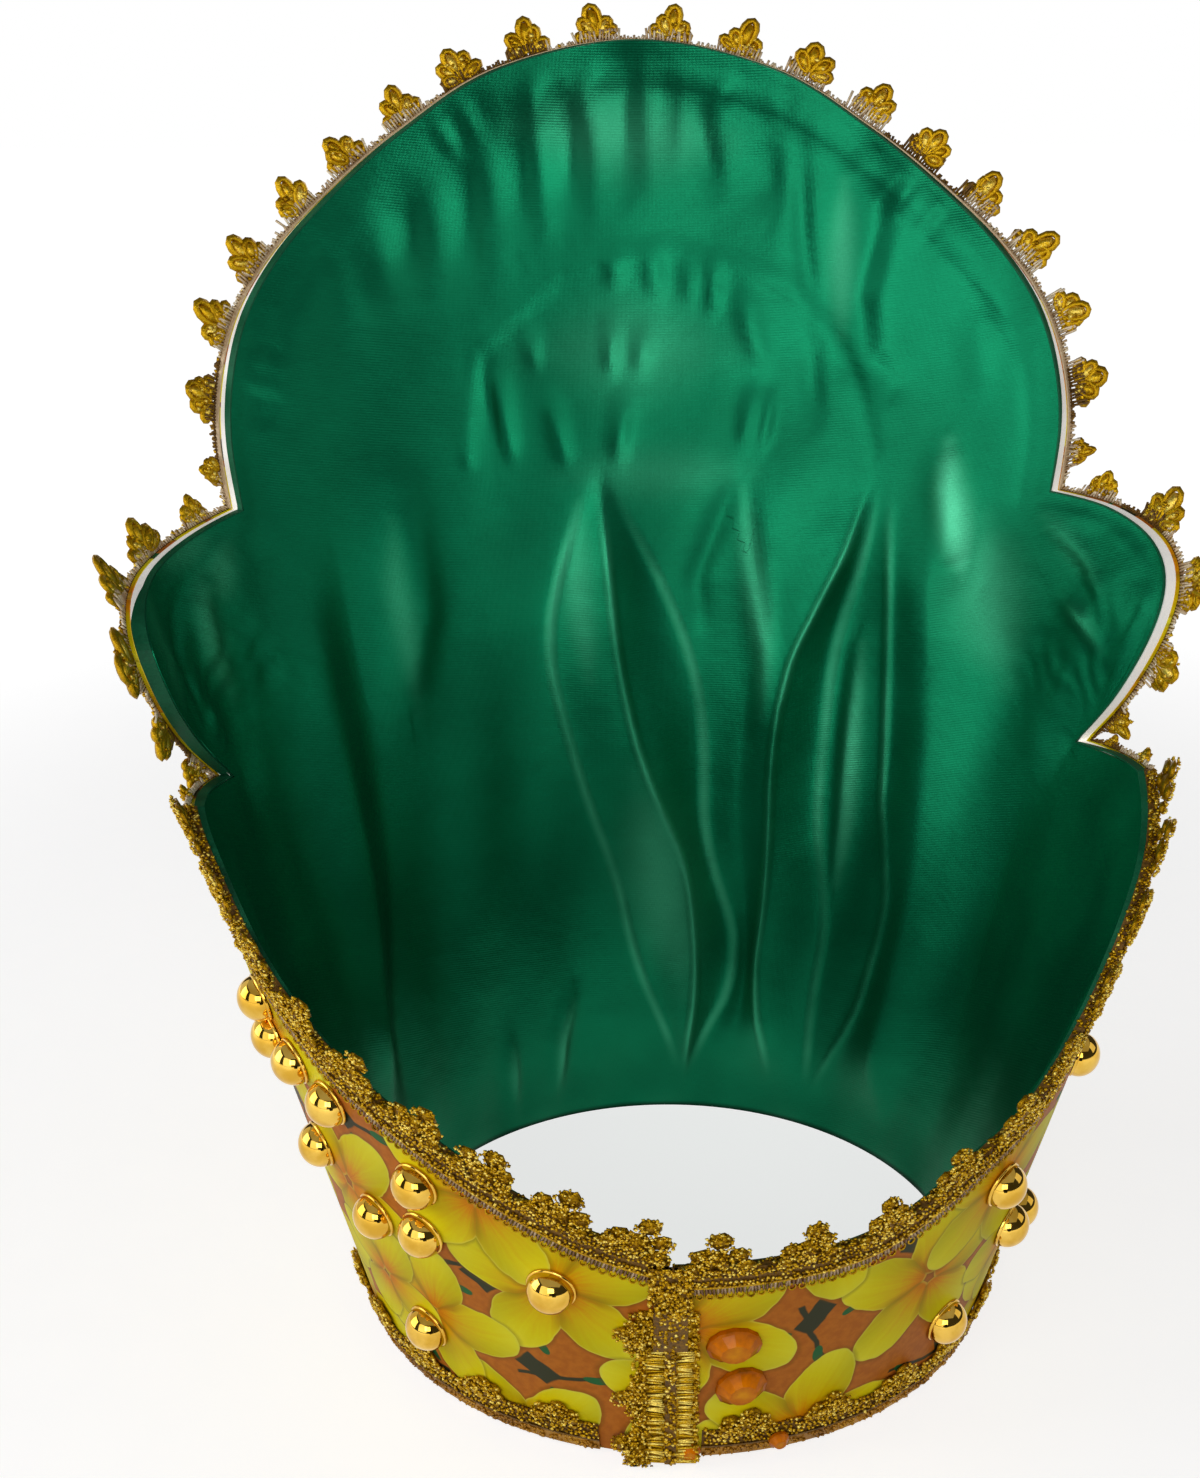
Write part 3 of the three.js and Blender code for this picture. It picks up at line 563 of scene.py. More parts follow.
# Satin lining: the big folds as lines of (angle, height) spots, smaller ones with widths and rise in mm
lining = {
    "fine": (2, 2, 4, 10, 4, 2, 2), "rows": (42, 66), "hem": 9.5, "ease": 1.2, "standOff": 0.6, "hold": 6,
    "creaseWidth": 1.8, "rounding": (-13, -7, 0, 7, 13), "drapeTop": (238, 198), "drapeFoot": 10,
    "flatBelow": (42, 86), "cornerFrom": (56, 74), "notchDrape": (6, 62), "notchCalm": (10, 34),
    "front": (120, 90), "arch": (57, 46), "lobeFrom": (55, 63), "lobeAbove": (166, 186), "lobeCrumple": 0.34,
    "gather": 0.4, "gatherBand": (1, 6, 20, 8), "stitch": (0.2, 0.45), "stitchWidth": 1.9, "pad": (0.8, 2.4),
    "puckers": [(1.0, 0.41, 2.1, 0.083, 0), (0.6, 0.73, 1.7, 0.061, 1)],  # rise, turn, sway, its turn, start
    "ripples": [(0.5, 0.11, 0.02), (0.35, 0.19, -0.045)],  # rise, turn per mm along and up
    "drape": [  # from left to right: level of each valley or crest, rise of its sharp crease, then its line
        (0.0, 0.0, [(-84, 230), (-88, 10)]),
        (8.5, 0.0, [(-53, 215), (-54, 150), (-57, 109), (-68, 48), (-71, 10)]),
        (-0.6, 0.0, [(-43, 215), (-44, 150), (-47, 109), (-58, 48), (-60, 10)]),
        (0.6, 0.0, [(-26, 230), (-28, 10)]),
        (0.8, 0.5, [(-6.5, 230), (-10.5, 208), (-14, 177), (-12, 147), (-8.5, 116), (-4, 89), (-2, 64),
                    (3, 39), (8.5, 20)]),
        (6.5, 0.5, [(-5, 227), (-4.5, 190), (-3, 161), (0.5, 129), (7, 104), (9, 90), (11.5, 52),
                    (9.5, 20)]),
        (-0.6, 0.4, [(-4, 229), (0.5, 211), (7.5, 172), (10, 147), (11, 102), (16.5, 78), (19.5, 58),
                    (15, 33), (10, 20)]),
        (2.0, 0.0, [(14, 229), (17, 180), (16, 140), (16.5, 110), (20, 78), (21.5, 50), (20, 30),
                    (17, 20)]),
        (6.2, 0.6, [(30, 228), (28, 198), (24, 184), (22, 159), (21.5, 139), (22.8, 108), (23.5, 80),
                    (22.8, 54), (29, 20)]),
        (-0.6, 0.5, [(31.5, 228), (30.5, 200), (28.5, 176), (29.7, 125), (31.5, 103), (35.5, 78),
                    (35, 50), (37.7, 20)]),
        (2.2, 0.6, [(33, 229), (38, 171), (42.5, 114), (46.5, 104), (47.5, 89), (47, 67), (45.5, 42),
                    (39, 20)]),
        (6.5, 0.0, [(39, 229), (46, 170), (49, 145), (52, 110), (54, 60), (54, 20)]),
        (0.3, 0.0, [(50, 215), (51, 199), (56.5, 183), (63, 168), (66.7, 155), (70, 120), (72, 60),
                    (74, 10)]),
        (4.5, 0.0, [(72, 230), (82, 165), (88, 60), (90, 10)]), (0.5, 0.0, [(96, 230), (102, 10)]),
    ],
    "folds": [  # line, width to its left and right, rise
        ([(13.5, 230), (15.5, 204), (18.5, 174), (19, 152)], 5.0, 4.0, 2.4),
        ([(39.5, 246), (41, 232), (45, 208)], 6.0, 6.5, 2.6),
        ([(32.2, 178), (33, 149), (34.5, 119), (35.5, 92)], 2.6, 5.0, 1.8),
        ([(40, 290), (43, 264)], 6.0, 4.0, 1.6),
        ([(-31, 232), (-32, 195), (-37, 165)], 9.0, 7.0, 3.6), ([(-31, 308), (-32, 285)], 6.0, 6.0, 1.6),
        ([(-25, 324), (-26.5, 296)], 6.0, 5.0, 2.6), ([(-18, 334), (-19.5, 298)], 6.0, 5.0, 3.0),
        ([(-12.4, 344), (-12.7, 310)], 7.0, 4.0, 3.2), ([(-7, 352), (-7.2, 316)], 6.0, 3.6, 3.6),
        ([(-1, 364), (-1, 326)], 5.5, 2.6, 2.8), ([(2.8, 360), (3.3, 338)], 3.6, 2.4, 1.6),
        ([(6, 353), (8, 326)], 4.0, 2.6, 2.0),
        ([(13.5, 341), (14.5, 318)], 8.0, 3.6, 1.8),
        ([(16.8, 340), (18.2, 310), (20.2, 288)], 3.0, 2.2, 1.6),
        ([(25.5, 330), (26.3, 314), (25.5, 292), (27, 274), (31, 264)], 7.0, 4.0, 3.8),
        ([(-14, 48), (-17.5, 33), (-19.5, 14)], 4.0, 2.6, 2.6),
        ([(-29, 36), (-30.5, 10)], 3.5, 2.5, 1.8), ([(54, 52), (58, 14)], 5.0, 4.0, 0.9),
        ([(-18.6, 274), (-18.4, 242)], 5.0, 3.4, 2.2), ([(20.2, 276), (22, 252)], 4.0, 3.0, 1.8),
        ([(-70, 218), (-73, 210), (-74.4, 199), (-72, 187)], 5.0, 4.0, 2.6),
        ([(-84, 190), (-77, 172)], 4.0, 4.0, 1.6),
        ([(56, 229), (63, 219), (72, 210)], 3.0, 3.0, 1.4),
        ([(65, 203), (71, 199), (76, 192)], 3.0, 3.0, 1.4),
    ],
    "dents": [  # short hollows where the padding is stitched through
        ([(-2.5, 305), (-2.5, 296)], 2.2, 1.5), ([(1.5, 305), (2.1, 293)], 2.2, 1.8),
        ([(5.8, 303), (6, 291)], 2.8, 1.5),
        ([(8.2, 303), (8.8, 288)], 2.2, 1.8), ([(-12.5, 281), (-12.5, 271)], 2.8, 1.2),
        ([(-3.1, 283), (-3.2, 269)], 2.0, 1.8),
        ([(0.7, 280), (0.2, 269)], 2.4, 1.5), ([(12, 293), (13, 282), (14.7, 270)], 3.4, 1.8),
        ([(-17.2, 268), (-16.4, 243)], 3.0, 2.0),
        ([(-10.7, 259), (-9.4, 241)], 3.0, 2.0), ([(-1.6, 258), (-2.7, 240)], 2.8, 2.0),
        ([(13.9, 261), (13.3, 243)], 3.0, 1.6),
        ([(16.1, 260), (15.5, 243)], 2.0, 1.4), ([(12, 229), (10, 215), (7.8, 198), (9, 182)], 3.4, 1.6),
        ([(-77.5, 218), (-81.5, 212), (-85, 205), (-84.6, 194)], 3.0, 1.8),
        ([(-66, 207), (-64, 195), (-63, 182)], 4.0, 1.6),
        ([(60, 221), (68, 212)], 2.6, 1.2), ([(-10, 358), (-10.5, 346)], 2.2, 1.6),
        ([(-4.5, 360), (-6, 350)], 2.0, 1.4), ([(9, 358), (8, 350)], 2.0, 1.6),
    ],
    "sheen": [  # line, half width and strength of each painted gleam
        ([(40, 247), (41.5, 233), (44.4, 218), (47, 204)], 4.2, 0.9),
        ([(33, 178), (34, 149), (35.5, 119), (36, 92)], 3.0, 0.5),
        ([(13.5, 230), (15.5, 204), (18.5, 174), (19, 152)], 3.5, 0.35),
        ([(-8, 224), (-9, 195), (-8, 165)], 4.0, 0.25),
        ([(-34, 224), (-35.5, 204), (-35.5, 160)], 4.0, 0.25),
        ([(22, 328), (23, 300), (24, 280)], 3.5, 0.4),
        ([(-69, 222), (-73, 209), (-74, 199), (-72, 184)], 5.5, 0.6),
        ([(-85, 225), (-91, 212), (-90, 190)], 5.5, 0.5),
        ([(56, 229), (63, 219), (72, 210)], 3.0, 0.2), ([(65, 203), (71, 199), (76, 192)], 3.0, 0.2),
        ([(47, 222), (52, 198), (58, 174)], 10.0, 0.32), ([(-82, 229), (-64, 229)], 5.0, 0.4),
        ([(-61, 227), (-69, 212)], 5.0, 0.4),
        ([(0, 130), (4, 90), (9, 50)], 11.0, 0.48), ([(-12, 275), (10, 275)], 15.0, 0.2),
        ([(-12, 345), (9, 340)], 11.0, 0.26), ([(-10, 234), (14, 234)], 8.0, 0.16),
        ([(-14, 47), (-17.5, 33), (-19.5, 16)], 2.0, 0.45), ([(-29, 34), (-30.5, 14)], 2.0, 0.25),
    ],
    "medallion": [(-22, 242), (-19, 277), (-9, 300), (3, 307), (17, 296), (25, 272), (30, 242)],
}


def lineDistance(angle, height, spots):  # mm from a fold line, negative to its left, and the share along it
    best, share = np.full(angle.shape, 1e9), np.zeros(angle.shape)
    spots = np.array(spots, float)
    run = runAlong(wallPoint(spots[:, 0], spots[:, 1], 0))
    scaleX = perDegree(height)
    for n, (a, b) in enumerate(zip(spots[:-1], spots[1:])):
        dx, dy = (b[0] - a[0]) * scaleX, b[1] - a[1]
        px, py = (angle - a[0]) * scaleX, height - a[1]
        t = np.clip((px * dx + py * dy) / (dx * dx + dy * dy), 0, 1)
        away = np.hypot(px - t * dx, py - t * dy)
        nearer = away < np.abs(best)
        best = np.where(nearer, np.copysign(away, px - t * dx), best)
        share = np.where(nearer, (run[n] + t * (run[n + 1] - run[n])) / run[-1], share)
    return best, share


def lineAt(height, spots):  # angle of a fold line at each height, its corners rounded
    angles, heights = zip(*sorted(spots, key=lambda spot: spot[1]))
    return np.mean([np.interp(height + step, heights, angles) for step in lining["rounding"]], axis=0)


def taper(share, trim, power):  # fades towards both ends of a line
    return np.sin(np.pi * np.clip(share, trim, 1 - trim)) ** power


def drapeSwell(angle, height):  # rises from each valley line to the next crest line and falls again
    lines = [lineAt(height, spots) for _, _, spots in lining["drape"]]
    levels = [level for level, _, _ in lining["drape"]]
    swell = np.zeros(angle.shape)
    for left, right, low, high in zip(lines[:-1], lines[1:], levels[:-1], levels[1:]):
        share = np.clip((angle - left) / np.maximum(right - left, 0.3), 0, 1)
        inside = (angle >= left) & (angle < right)
        swell = np.where(inside, low + (high - low) * (0.5 * share + 0.5 * smooth(share, 0, 1)), swell)
    for line, (_, crease, _) in zip(lines, lining["drape"]):
        swell += crease * np.exp(-(((angle - line) * perDegree(height) / lining["creaseWidth"]) ** 2))
    low, high = lining["flatBelow"]
    flat = low + (high - low) * smooth(np.abs(angle), *lining["cornerFrom"])  # the low corners lie flatter
    return swell * smooth(height, *lining["drapeTop"]) * smooth(height, lining["drapeFoot"], flat)


def creaseAway(angle, height):  # mm from the nearest sharp crease; the sign turns over between creases
    away = np.full(angle.shape, -30.0)
    sharp = [spots for _, crease, spots in lining["drape"] if crease > 0]
    for n, spots in enumerate(sharp):
        here = (angle - lineAt(height, spots)) * perDegree(height) * (-1) ** n
        away = np.where(np.abs(here) < np.abs(away), here, away)
    return away


def paintedSheenAt(angle, height):  # painted highlight: how strongly the satin's colour is lightened at each spot
    gleam = np.zeros(angle.shape)
    for spots, width, strength in lining["sheen"]:
        away, share = lineDistance(angle, height, spots)
        narrow = taper(share, 0.04, 0.7)
        gleam = np.maximum(gleam, strength * narrow * np.exp(-((away / width / (0.4 + 0.6 * narrow)) ** 2)))
    return gleam


def liningSwell(angle, height, fromEdge, alongEdge):
    here = wallPoint(angle, height, 0)
    fromNotch = np.min([np.linalg.norm(here - wallPoint(a, h, 0), axis=1) for a, h in notches], axis=0) / mm
    swell = drapeSwell(angle, height) * smooth(fromNotch, *lining["notchDrape"])
    for spots, left, right, rise in lining["folds"]:
        away, share = lineDistance(angle, height, spots)
        width = np.where(away < 0, left, right)
        swell += rise * (0.2 + 0.8 * taper(share, 0.02, 0.7)) * np.exp(-((away / width) ** 2))
    for spots, width, depth in lining["dents"]:
        away, share = lineDistance(angle, height, spots)
        swell -= depth * (0.3 + 0.7 * taper(share, 0, 0.6)) * np.exp(-((away / width) ** 2))
    away, _ = lineDistance(angle, height, lining["medallion"])
    swell -= lining["pad"][0] * np.exp(-((away / lining["pad"][1]) ** 2))
    front = smooth(np.abs(angle), *lining["front"])
    uneven = smooth(np.sin(alongEdge * 0.047 + 0.8) + np.sin(alongEdge * 0.11), -0.6, 1.2)
    pucker = sum(rise * np.sin(alongEdge * turn + sway * np.sin(alongEdge * slow + start))
                 for rise, turn, sway, slow, start in lining["puckers"])
    gather = front * smooth(fromNotch, *lining["notchCalm"]) * lining["gather"] * uneven * pucker
    bandStart, bandFull, bandEnd, bandFade = lining["gatherBand"]
    swell += gather * smooth(fromEdge, bandStart, bandFull) * smooth(fromEdge, bandEnd, bandFade)
    least, more = lining["stitch"]
    sewnDown = smooth(np.abs(angle), *lining["arch"]) * (least + more * smooth(angle, -20, 12))
    stitching = np.exp(-((fromEdge - lining["hem"]) / lining["stitchWidth"]) ** 2)
    swell -= sewnDown * stitching * smooth(height, 60, 150)
    run = np.radians(angle) * 125
    swell += sum(rise * np.sin(run * along + height * up) for rise, along, up in lining["ripples"])
    lobe = smooth(np.abs(angle), *lining["lobeFrom"]) * smooth(height, *lining["lobeAbove"])
    crumple = lobe * lining["lobeCrumple"] * np.sin(run * 0.55 + 1.8 * np.sin(height * 0.21))
    swell += crumple * np.sin(height * 0.36 + 1.4 * np.sin(run * 0.27))
    slack = lining["ease"] * front * smooth(fromEdge, 3, 16) * smooth(height, 4, 30)
    swell += lining["standOff"] + slack  # the satin stands off the card
    hold = smooth(fromEdge, 0, lining["hold"]) * smooth(height, wall["foot"], lining["hold"])  # rim and foot
    return np.maximum(swell, -lining["standOff"]) * hold


liningMesh = wallSheet("satinLining", "lining", sheetColumns(lining["fine"]), lining["rows"], wall["foot"],
                       inner=liningSwell, marks={"crease": creaseAway, "sheen": paintedSheenAt})
satinLining = place("satinLining", liningMesh, [satin], "satin", "satin_lining")
print("lining:", len(liningMesh.polygons), "faces")

# Card wall: shows as a white edge between the lining and the cover
cardWall = {"fine": (3, 3, 5, 5, 5, 3, 3), "rows": (12, 20)}
cardMesh = wallSheet("cardWall", "card", sheetColumns(cardWall["fine"]), cardWall["rows"], 0.0)
cardPiece = place("cardWall", cardMesh, [card], "card", "card_stiffener")

# Printed cover, pulled smooth over the card
cover = {"fine": (4, 4, 5, 5, 5, 4, 4), "rows": (20, 34), "ripple": 0.22}


def coverSwell(angle, height, fromEdge, alongEdge):
    run = np.radians(angle) * 110
    wave = 0.5 + 0.5 * np.sin(run * 0.21 + 1.3 * np.sin(height * 0.06))
    return cover["ripple"] * wave * smooth(fromEdge, 0, 8)


coverMesh = wallSheet("printedCover", "cover", sheetColumns(cover["fine"]), cover["rows"], wall["foot"],
                      outer=coverSwell)
printedCover = place("printedCover", coverMesh, [floral], "print", "printed_cover")
print("card and cover:", len(cardMesh.polygons), len(coverMesh.polygons), "faces")


# Lace is laid out flat as along, up and out in mm, then carried onto the wall
def laceRoute(curves, steps=160):
    spots = np.concatenate([edgeSpots(rows, steps) for rows in curves])
    gaps = np.linalg.norm(np.diff(wallPoint(spots[:, 0], spots[:, 1], 0), axis=0), axis=1) / mm
    run = np.concatenate([[0], np.cumsum(gaps)])
    starts = [run[n * (steps + 1)] for n in range(len(curves))] + [run[-1]]
    return {"run": run, "angle": spots[:, 0], "height": spots[:, 1], "starts": starts}


def routeAt(route, run):
    return [np.interp(run, route["run"], route[key]) for key in ("angle", "height")]


def onWall(route, points, reach):
    along, up, out = points.T
    angle, height = routeAt(route, along)
    angleA, heightA = routeAt(route, along - reach)
    angleB, heightB = routeAt(route, along + reach)
    here = wallPoint(angle, height, wall["cover"][1])
    scaleX = np.linalg.norm(wallPoint(angle + 1, height, wall["cover"][1]) - here, axis=1) / mm
    scaleY = np.linalg.norm(wallPoint(angle, height + 1, wall["cover"][1]) - here, axis=1) / mm
    runX, runY = (angleB - angleA) * scaleX, (heightB - heightA) * scaleY
    size = np.hypot(runX, runY)
    angle, height = angle - runY / size * up / scaleX, height + runX / size * up / scaleY
    return wallPoint(angle, height, wall["lace"] + out)


def asArrays(bm):
    bm.verts.index_update()
    points = np.array([v.co[:] for v in bm.verts])
    faces = [[v.index for v in face.verts] for face in bm.faces]
    bm.free()
    return points, faces


def ringShape(segments, sides):  # ring of radius 2 and thread 1
    bm = bmesh.new()
    stand = Matrix.Translation((2, 0, 0)) @ Matrix.Rotation(math.pi / 2, 4, "X")
    bmesh.ops.create_circle(bm, segments=sides, radius=1, matrix=stand)
    spin(bm, bm.verts[:] + bm.edges[:], segments, 1e-4)
    return asArrays(bm)


def grainShape():  # one glint, with eight sides
    bm = bmesh.new()
    bmesh.ops.create_uvsphere(bm, u_segments=4, v_segments=2, radius=1)
    return asArrays(bm)


def coreShape():  # the filling of a loop
    bm = bmesh.new()
    bmesh.ops.create_icosphere(bm, subdivisions=1, radius=1)
    return asArrays(bm)


def barShape(sides):  # thread of length 1 along the middle axis
    bm = bmesh.new()
    lying = Matrix.Rotation(math.pi / 2, 4, "X")
    bmesh.ops.create_cone(bm, cap_ends=True, segments=sides, radius1=1, radius2=1, depth=1, matrix=lying)
    return asArrays(bm)


ringTemplate, smallRing, barTemplate = ringShape(12, 4), ringShape(8, 3), barShape(4)
grainTemplate, coreTemplate = grainShape(), coreShape()


class Stitches:  # gathers the small shapes of one lace
    def __init__(self):
        self.points, self.faces, self.tones, self.finishes, self.soft, self.count = [], [], [], [], [], 0

    def add(self, points, faces, tone, finish=0, soft=True):
        self.points.append(points)
        self.faces.extend([[n + self.count for n in face] for face in faces])
        self.tones.append(np.full(len(points), tone))
        self.finishes.extend([finish] * len(faces))
        self.soft.extend([soft] * len(faces))
        self.count += len(points)

    def lay(self, template, x, y, middle, lean, thick, tone):  # turned in its own plane and set in place
        shape, faces = template
        c, s = math.cos(lean), math.sin(lean)
        flat = [middle[0] + x * c + y * s, middle[1] - x * s + y * c, middle[2] + shape[:, 2] * thick]
        self.add(np.stack(flat, axis=-1), faces, tone)

    def ring(self, middle, half, lean, thread, tone, template=ringTemplate, taper=0.0):
        shape = template[0]
        turn = np.arctan2(shape[:, 1], shape[:, 0])
        bulge = (np.hypot(shape[:, 0], shape[:, 1]) - 2) * thread
        x, y = half[0] * np.cos(turn), half[1] * np.sin(turn)
        nx, ny = np.cos(turn) / half[0], np.sin(turn) / half[1]
        size = np.hypot(nx, ny)
        x, y = x * (1 + taper * y / half[1]) + nx / size * bulge, y + ny / size * bulge
        self.lay(template, x, y, middle, lean, thread, tone)

    def grain(self, middle, size, tone, finish=0):
        shape, faces = grainTemplate
        spin = np.linalg.qr(chance.normal(size=(3, 3)))[0]
        spin *= np.sign(np.linalg.det(spin))
        stretch = size * chance.uniform(0.75, 1.2, 3)
        self.add(shape @ spin.T * stretch + middle, faces, tone, finish)

    def core(self, middle, half, lean, thick, tone):
        shape = coreTemplate[0]
        self.lay(coreTemplate, shape[:, 0] * half[0], shape[:, 1] * half[1], middle, lean, thick, tone)

    def bar(self, start, end, thread, tone, finish=1):
        shape, faces = barTemplate
        a, b = np.array(start, float), np.array(end, float)
        ahead = (b - a) / np.linalg.norm(b - a)
        side = np.cross(ahead, (0, 0, 1))
        side /= np.linalg.norm(side)
        lift = np.cross(side, ahead)
        x, y, z = shape[:, :1], shape[:, 1:2], shape[:, 2:]
        self.add((a + b) / 2 + y * (b - a) + x * thread * side + z * thread * lift, faces, tone, finish)

    def strip(self, fromAlong, toAlong, low, high, out, step, finish, tone=0.5):  # thin closed tape
        bm = bmesh.new()
        across = max(2, int((toAlong - fromAlong) / step))
        bmesh.ops.create_grid(bm, x_segments=across, y_segments=2, size=0.5)
        bmesh.ops.translate(bm, vec=(0, 0, 1), verts=thicken(bm))
        bmesh.ops.recalc_face_normals(bm, faces=bm.faces[:])
        shape, faces = asArrays(bm)
        along = fromAlong + (shape[:, 0] + 0.5) * (toAlong - fromAlong)
        up = low + (shape[:, 1] + 0.5) * (high - low)
        depth = out[0] + shape[:, 2] * (out[1] - out[0])
        self.add(np.column_stack([along, up, depth]), faces, tone, finish, False)

    def mesh(self, name, route, depthAt=None, reach=3.0):
        points = np.concatenate(self.points)
        if depthAt:
            points[:, 2] = depthAt(points)
        mesh = bpy.data.meshes.new(name)
        mesh.from_pydata(onWall(route, points, reach).tolist(), [], self.faces)
        mesh.polygons.foreach_set("material_index", np.array(self.finishes, np.int32))
        mesh.polygons.foreach_set("use_smooth", np.array(self.soft, bool))
        tones = mesh.attributes.new("tone", "FLOAT", "POINT")
        tones.data.foreach_set("value", np.concatenate(self.tones).astype(np.float32))
        mesh.update()
        return mesh


laceFan = {
    "loops": [(72, 8.4, 5.0), (-72, 8.4, 5.0), (38, 9.4, 5.6), (-34, 9.2, 5.6),
              (2, 11.8, 6.4)],  # lean, length and width
    "bumps": [(5.0, 1.0, 2.3), (3.3, 4.5, 2.8), (0.0, 3.2, 3.8), (-1.3, 8.2, 3.0), (-4.2, 4.6, 2.6),
              (-5.2, 0.8, 2.2)],  # side, rise and radius
    "foot": 1.4, "thread": 1.0, "lift": 0.8, "spread": 6.4, "grains": 30,
    "glitter": 3.75,  # grains in a bump of radius 1
}


def glint(top=1.0):  # tone of one grain, more often dark than bright
    return chance.uniform(0.05, top) ** 1.2


def picot(stitches, middle, scale, foot):  # open fan of loops
    lift, turn = laceFan["lift"], chance.normal(0, 5)
    for lean, length, width in laceFan["loops"]:
        lean = math.radians(lean * (0.75 + 0.25 * scale) + turn + chance.normal(0, 4))
        length = length * scale * chance.uniform(0.88, 1.08)
        width = width * (0.4 + 0.6 * scale) * chance.uniform(0.94, 1.08)
        thread = laceFan["thread"] * (0.55 + 0.45 * scale) * chance.uniform(0.92, 1.1)
        half = (max(width / 2 - thread, 0.4), max(length / 2 - thread, 0.5))
        side, up = middle + math.sin(lean) * length / 2, foot + math.cos(lean) * length / 2
        spot = (side, up, lift + chance.normal(0, 0.25))
        stitches.ring(spot, half, lean, thread, chance.uniform(0.3, 0.6), taper=0.18)
        stitches.core(spot, (half[0] * 0.85, half[1] * 0.9), lean, thread * 1.2, chance.uniform(0.5, 0.95))
    for _ in range(laceFan["grains"]):
        up = chance.uniform(-0.5, 6.5) * scale
        side = chance.uniform(-1, 1) * (laceFan["spread"] - 0.4 * max(up, 0)) * scale
        out = lift + chance.choice((-1, 1)) * chance.uniform(0.3, 1.3)
        stitches.grain((middle + side, foot + up, out), chance.uniform(0.6, 0.9), chance.uniform(0.1, 1.1))


def mound(stitches, middle, scale, foot, tall=1.0):  # picot packed with glitter, higher to one side
    lift = laceFan["lift"]
    for side, up, radius in laceFan["bumps"]:
        side = middle + (side + chance.normal(0, 0.4)) * scale
        up = foot + (up * tall + chance.normal(0, 0.4)) * scale
        radius *= scale * chance.uniform(0.92, 1.08)
        stitches.core((side, up, lift), (radius * 0.92, radius * 0.92), 0, 0.8, 0.2)
        for _ in range(int(laceFan["glitter"] * radius**2)):
            turn, reach = chance.uniform(0, 2 * math.pi), chance.uniform(0, 1) ** 0.5
            spot = (side + math.cos(turn) * reach * radius, up + math.sin(turn) * reach * radius)
            out = lift + 0.5 + 0.9 * (1 - reach**2) + chance.uniform(-0.15, 0.35)
            stitches.grain((*spot, out), chance.uniform(0.42, 0.64), chance.uniform(0.15, 1.05))


def placeLace(mesh, node, *more):
    piece = place(mesh.name, mesh, [laceGold, paleThread, brownTape, *more], "gold_lace", node)
    print(mesh.name, "sewn:", sum(len(p.vertices) - 2 for p in mesh.polygons), "triangles")
    return piece


# Gold lace along the whole top edge, in mm above or below that edge
topLace = {
    "grainGap": (1.15, 1.9), "grainRows": [-5.0, -4.2, -3.4, -1.5, -0.6, 0.3, 1.1], "groove": (-2.9, -1.9),
    "tape": (-5.9, 0.9), "cord": (-5.8, -5.2), "ladder": (-8.0, -5.3), "ladderGap": 0.95, "border": -8.9,
    "borderGap": 2.6, "rootGap": 1.0, "roots": 4.4, "rootSpan": 7.0, "rightRoots": (12, 1.9),
    "turnedOver": 3.4, "end": 0.2, "curl": 0.22, "curlFrom": (70, 84), "curlAbove": (160, 168),
    "bands": (0, 6), "arch": 3,  # places in stretches
}


def notchRoom(angle, height, room):
    here = wallPoint(np.array(angle), np.array(height), 0)
    away = [np.linalg.norm(here - wallPoint(np.array(a), np.array(h), 0)) / mm for a, h in notches]
    return min(max(min(away) / room, 0.15), 1)


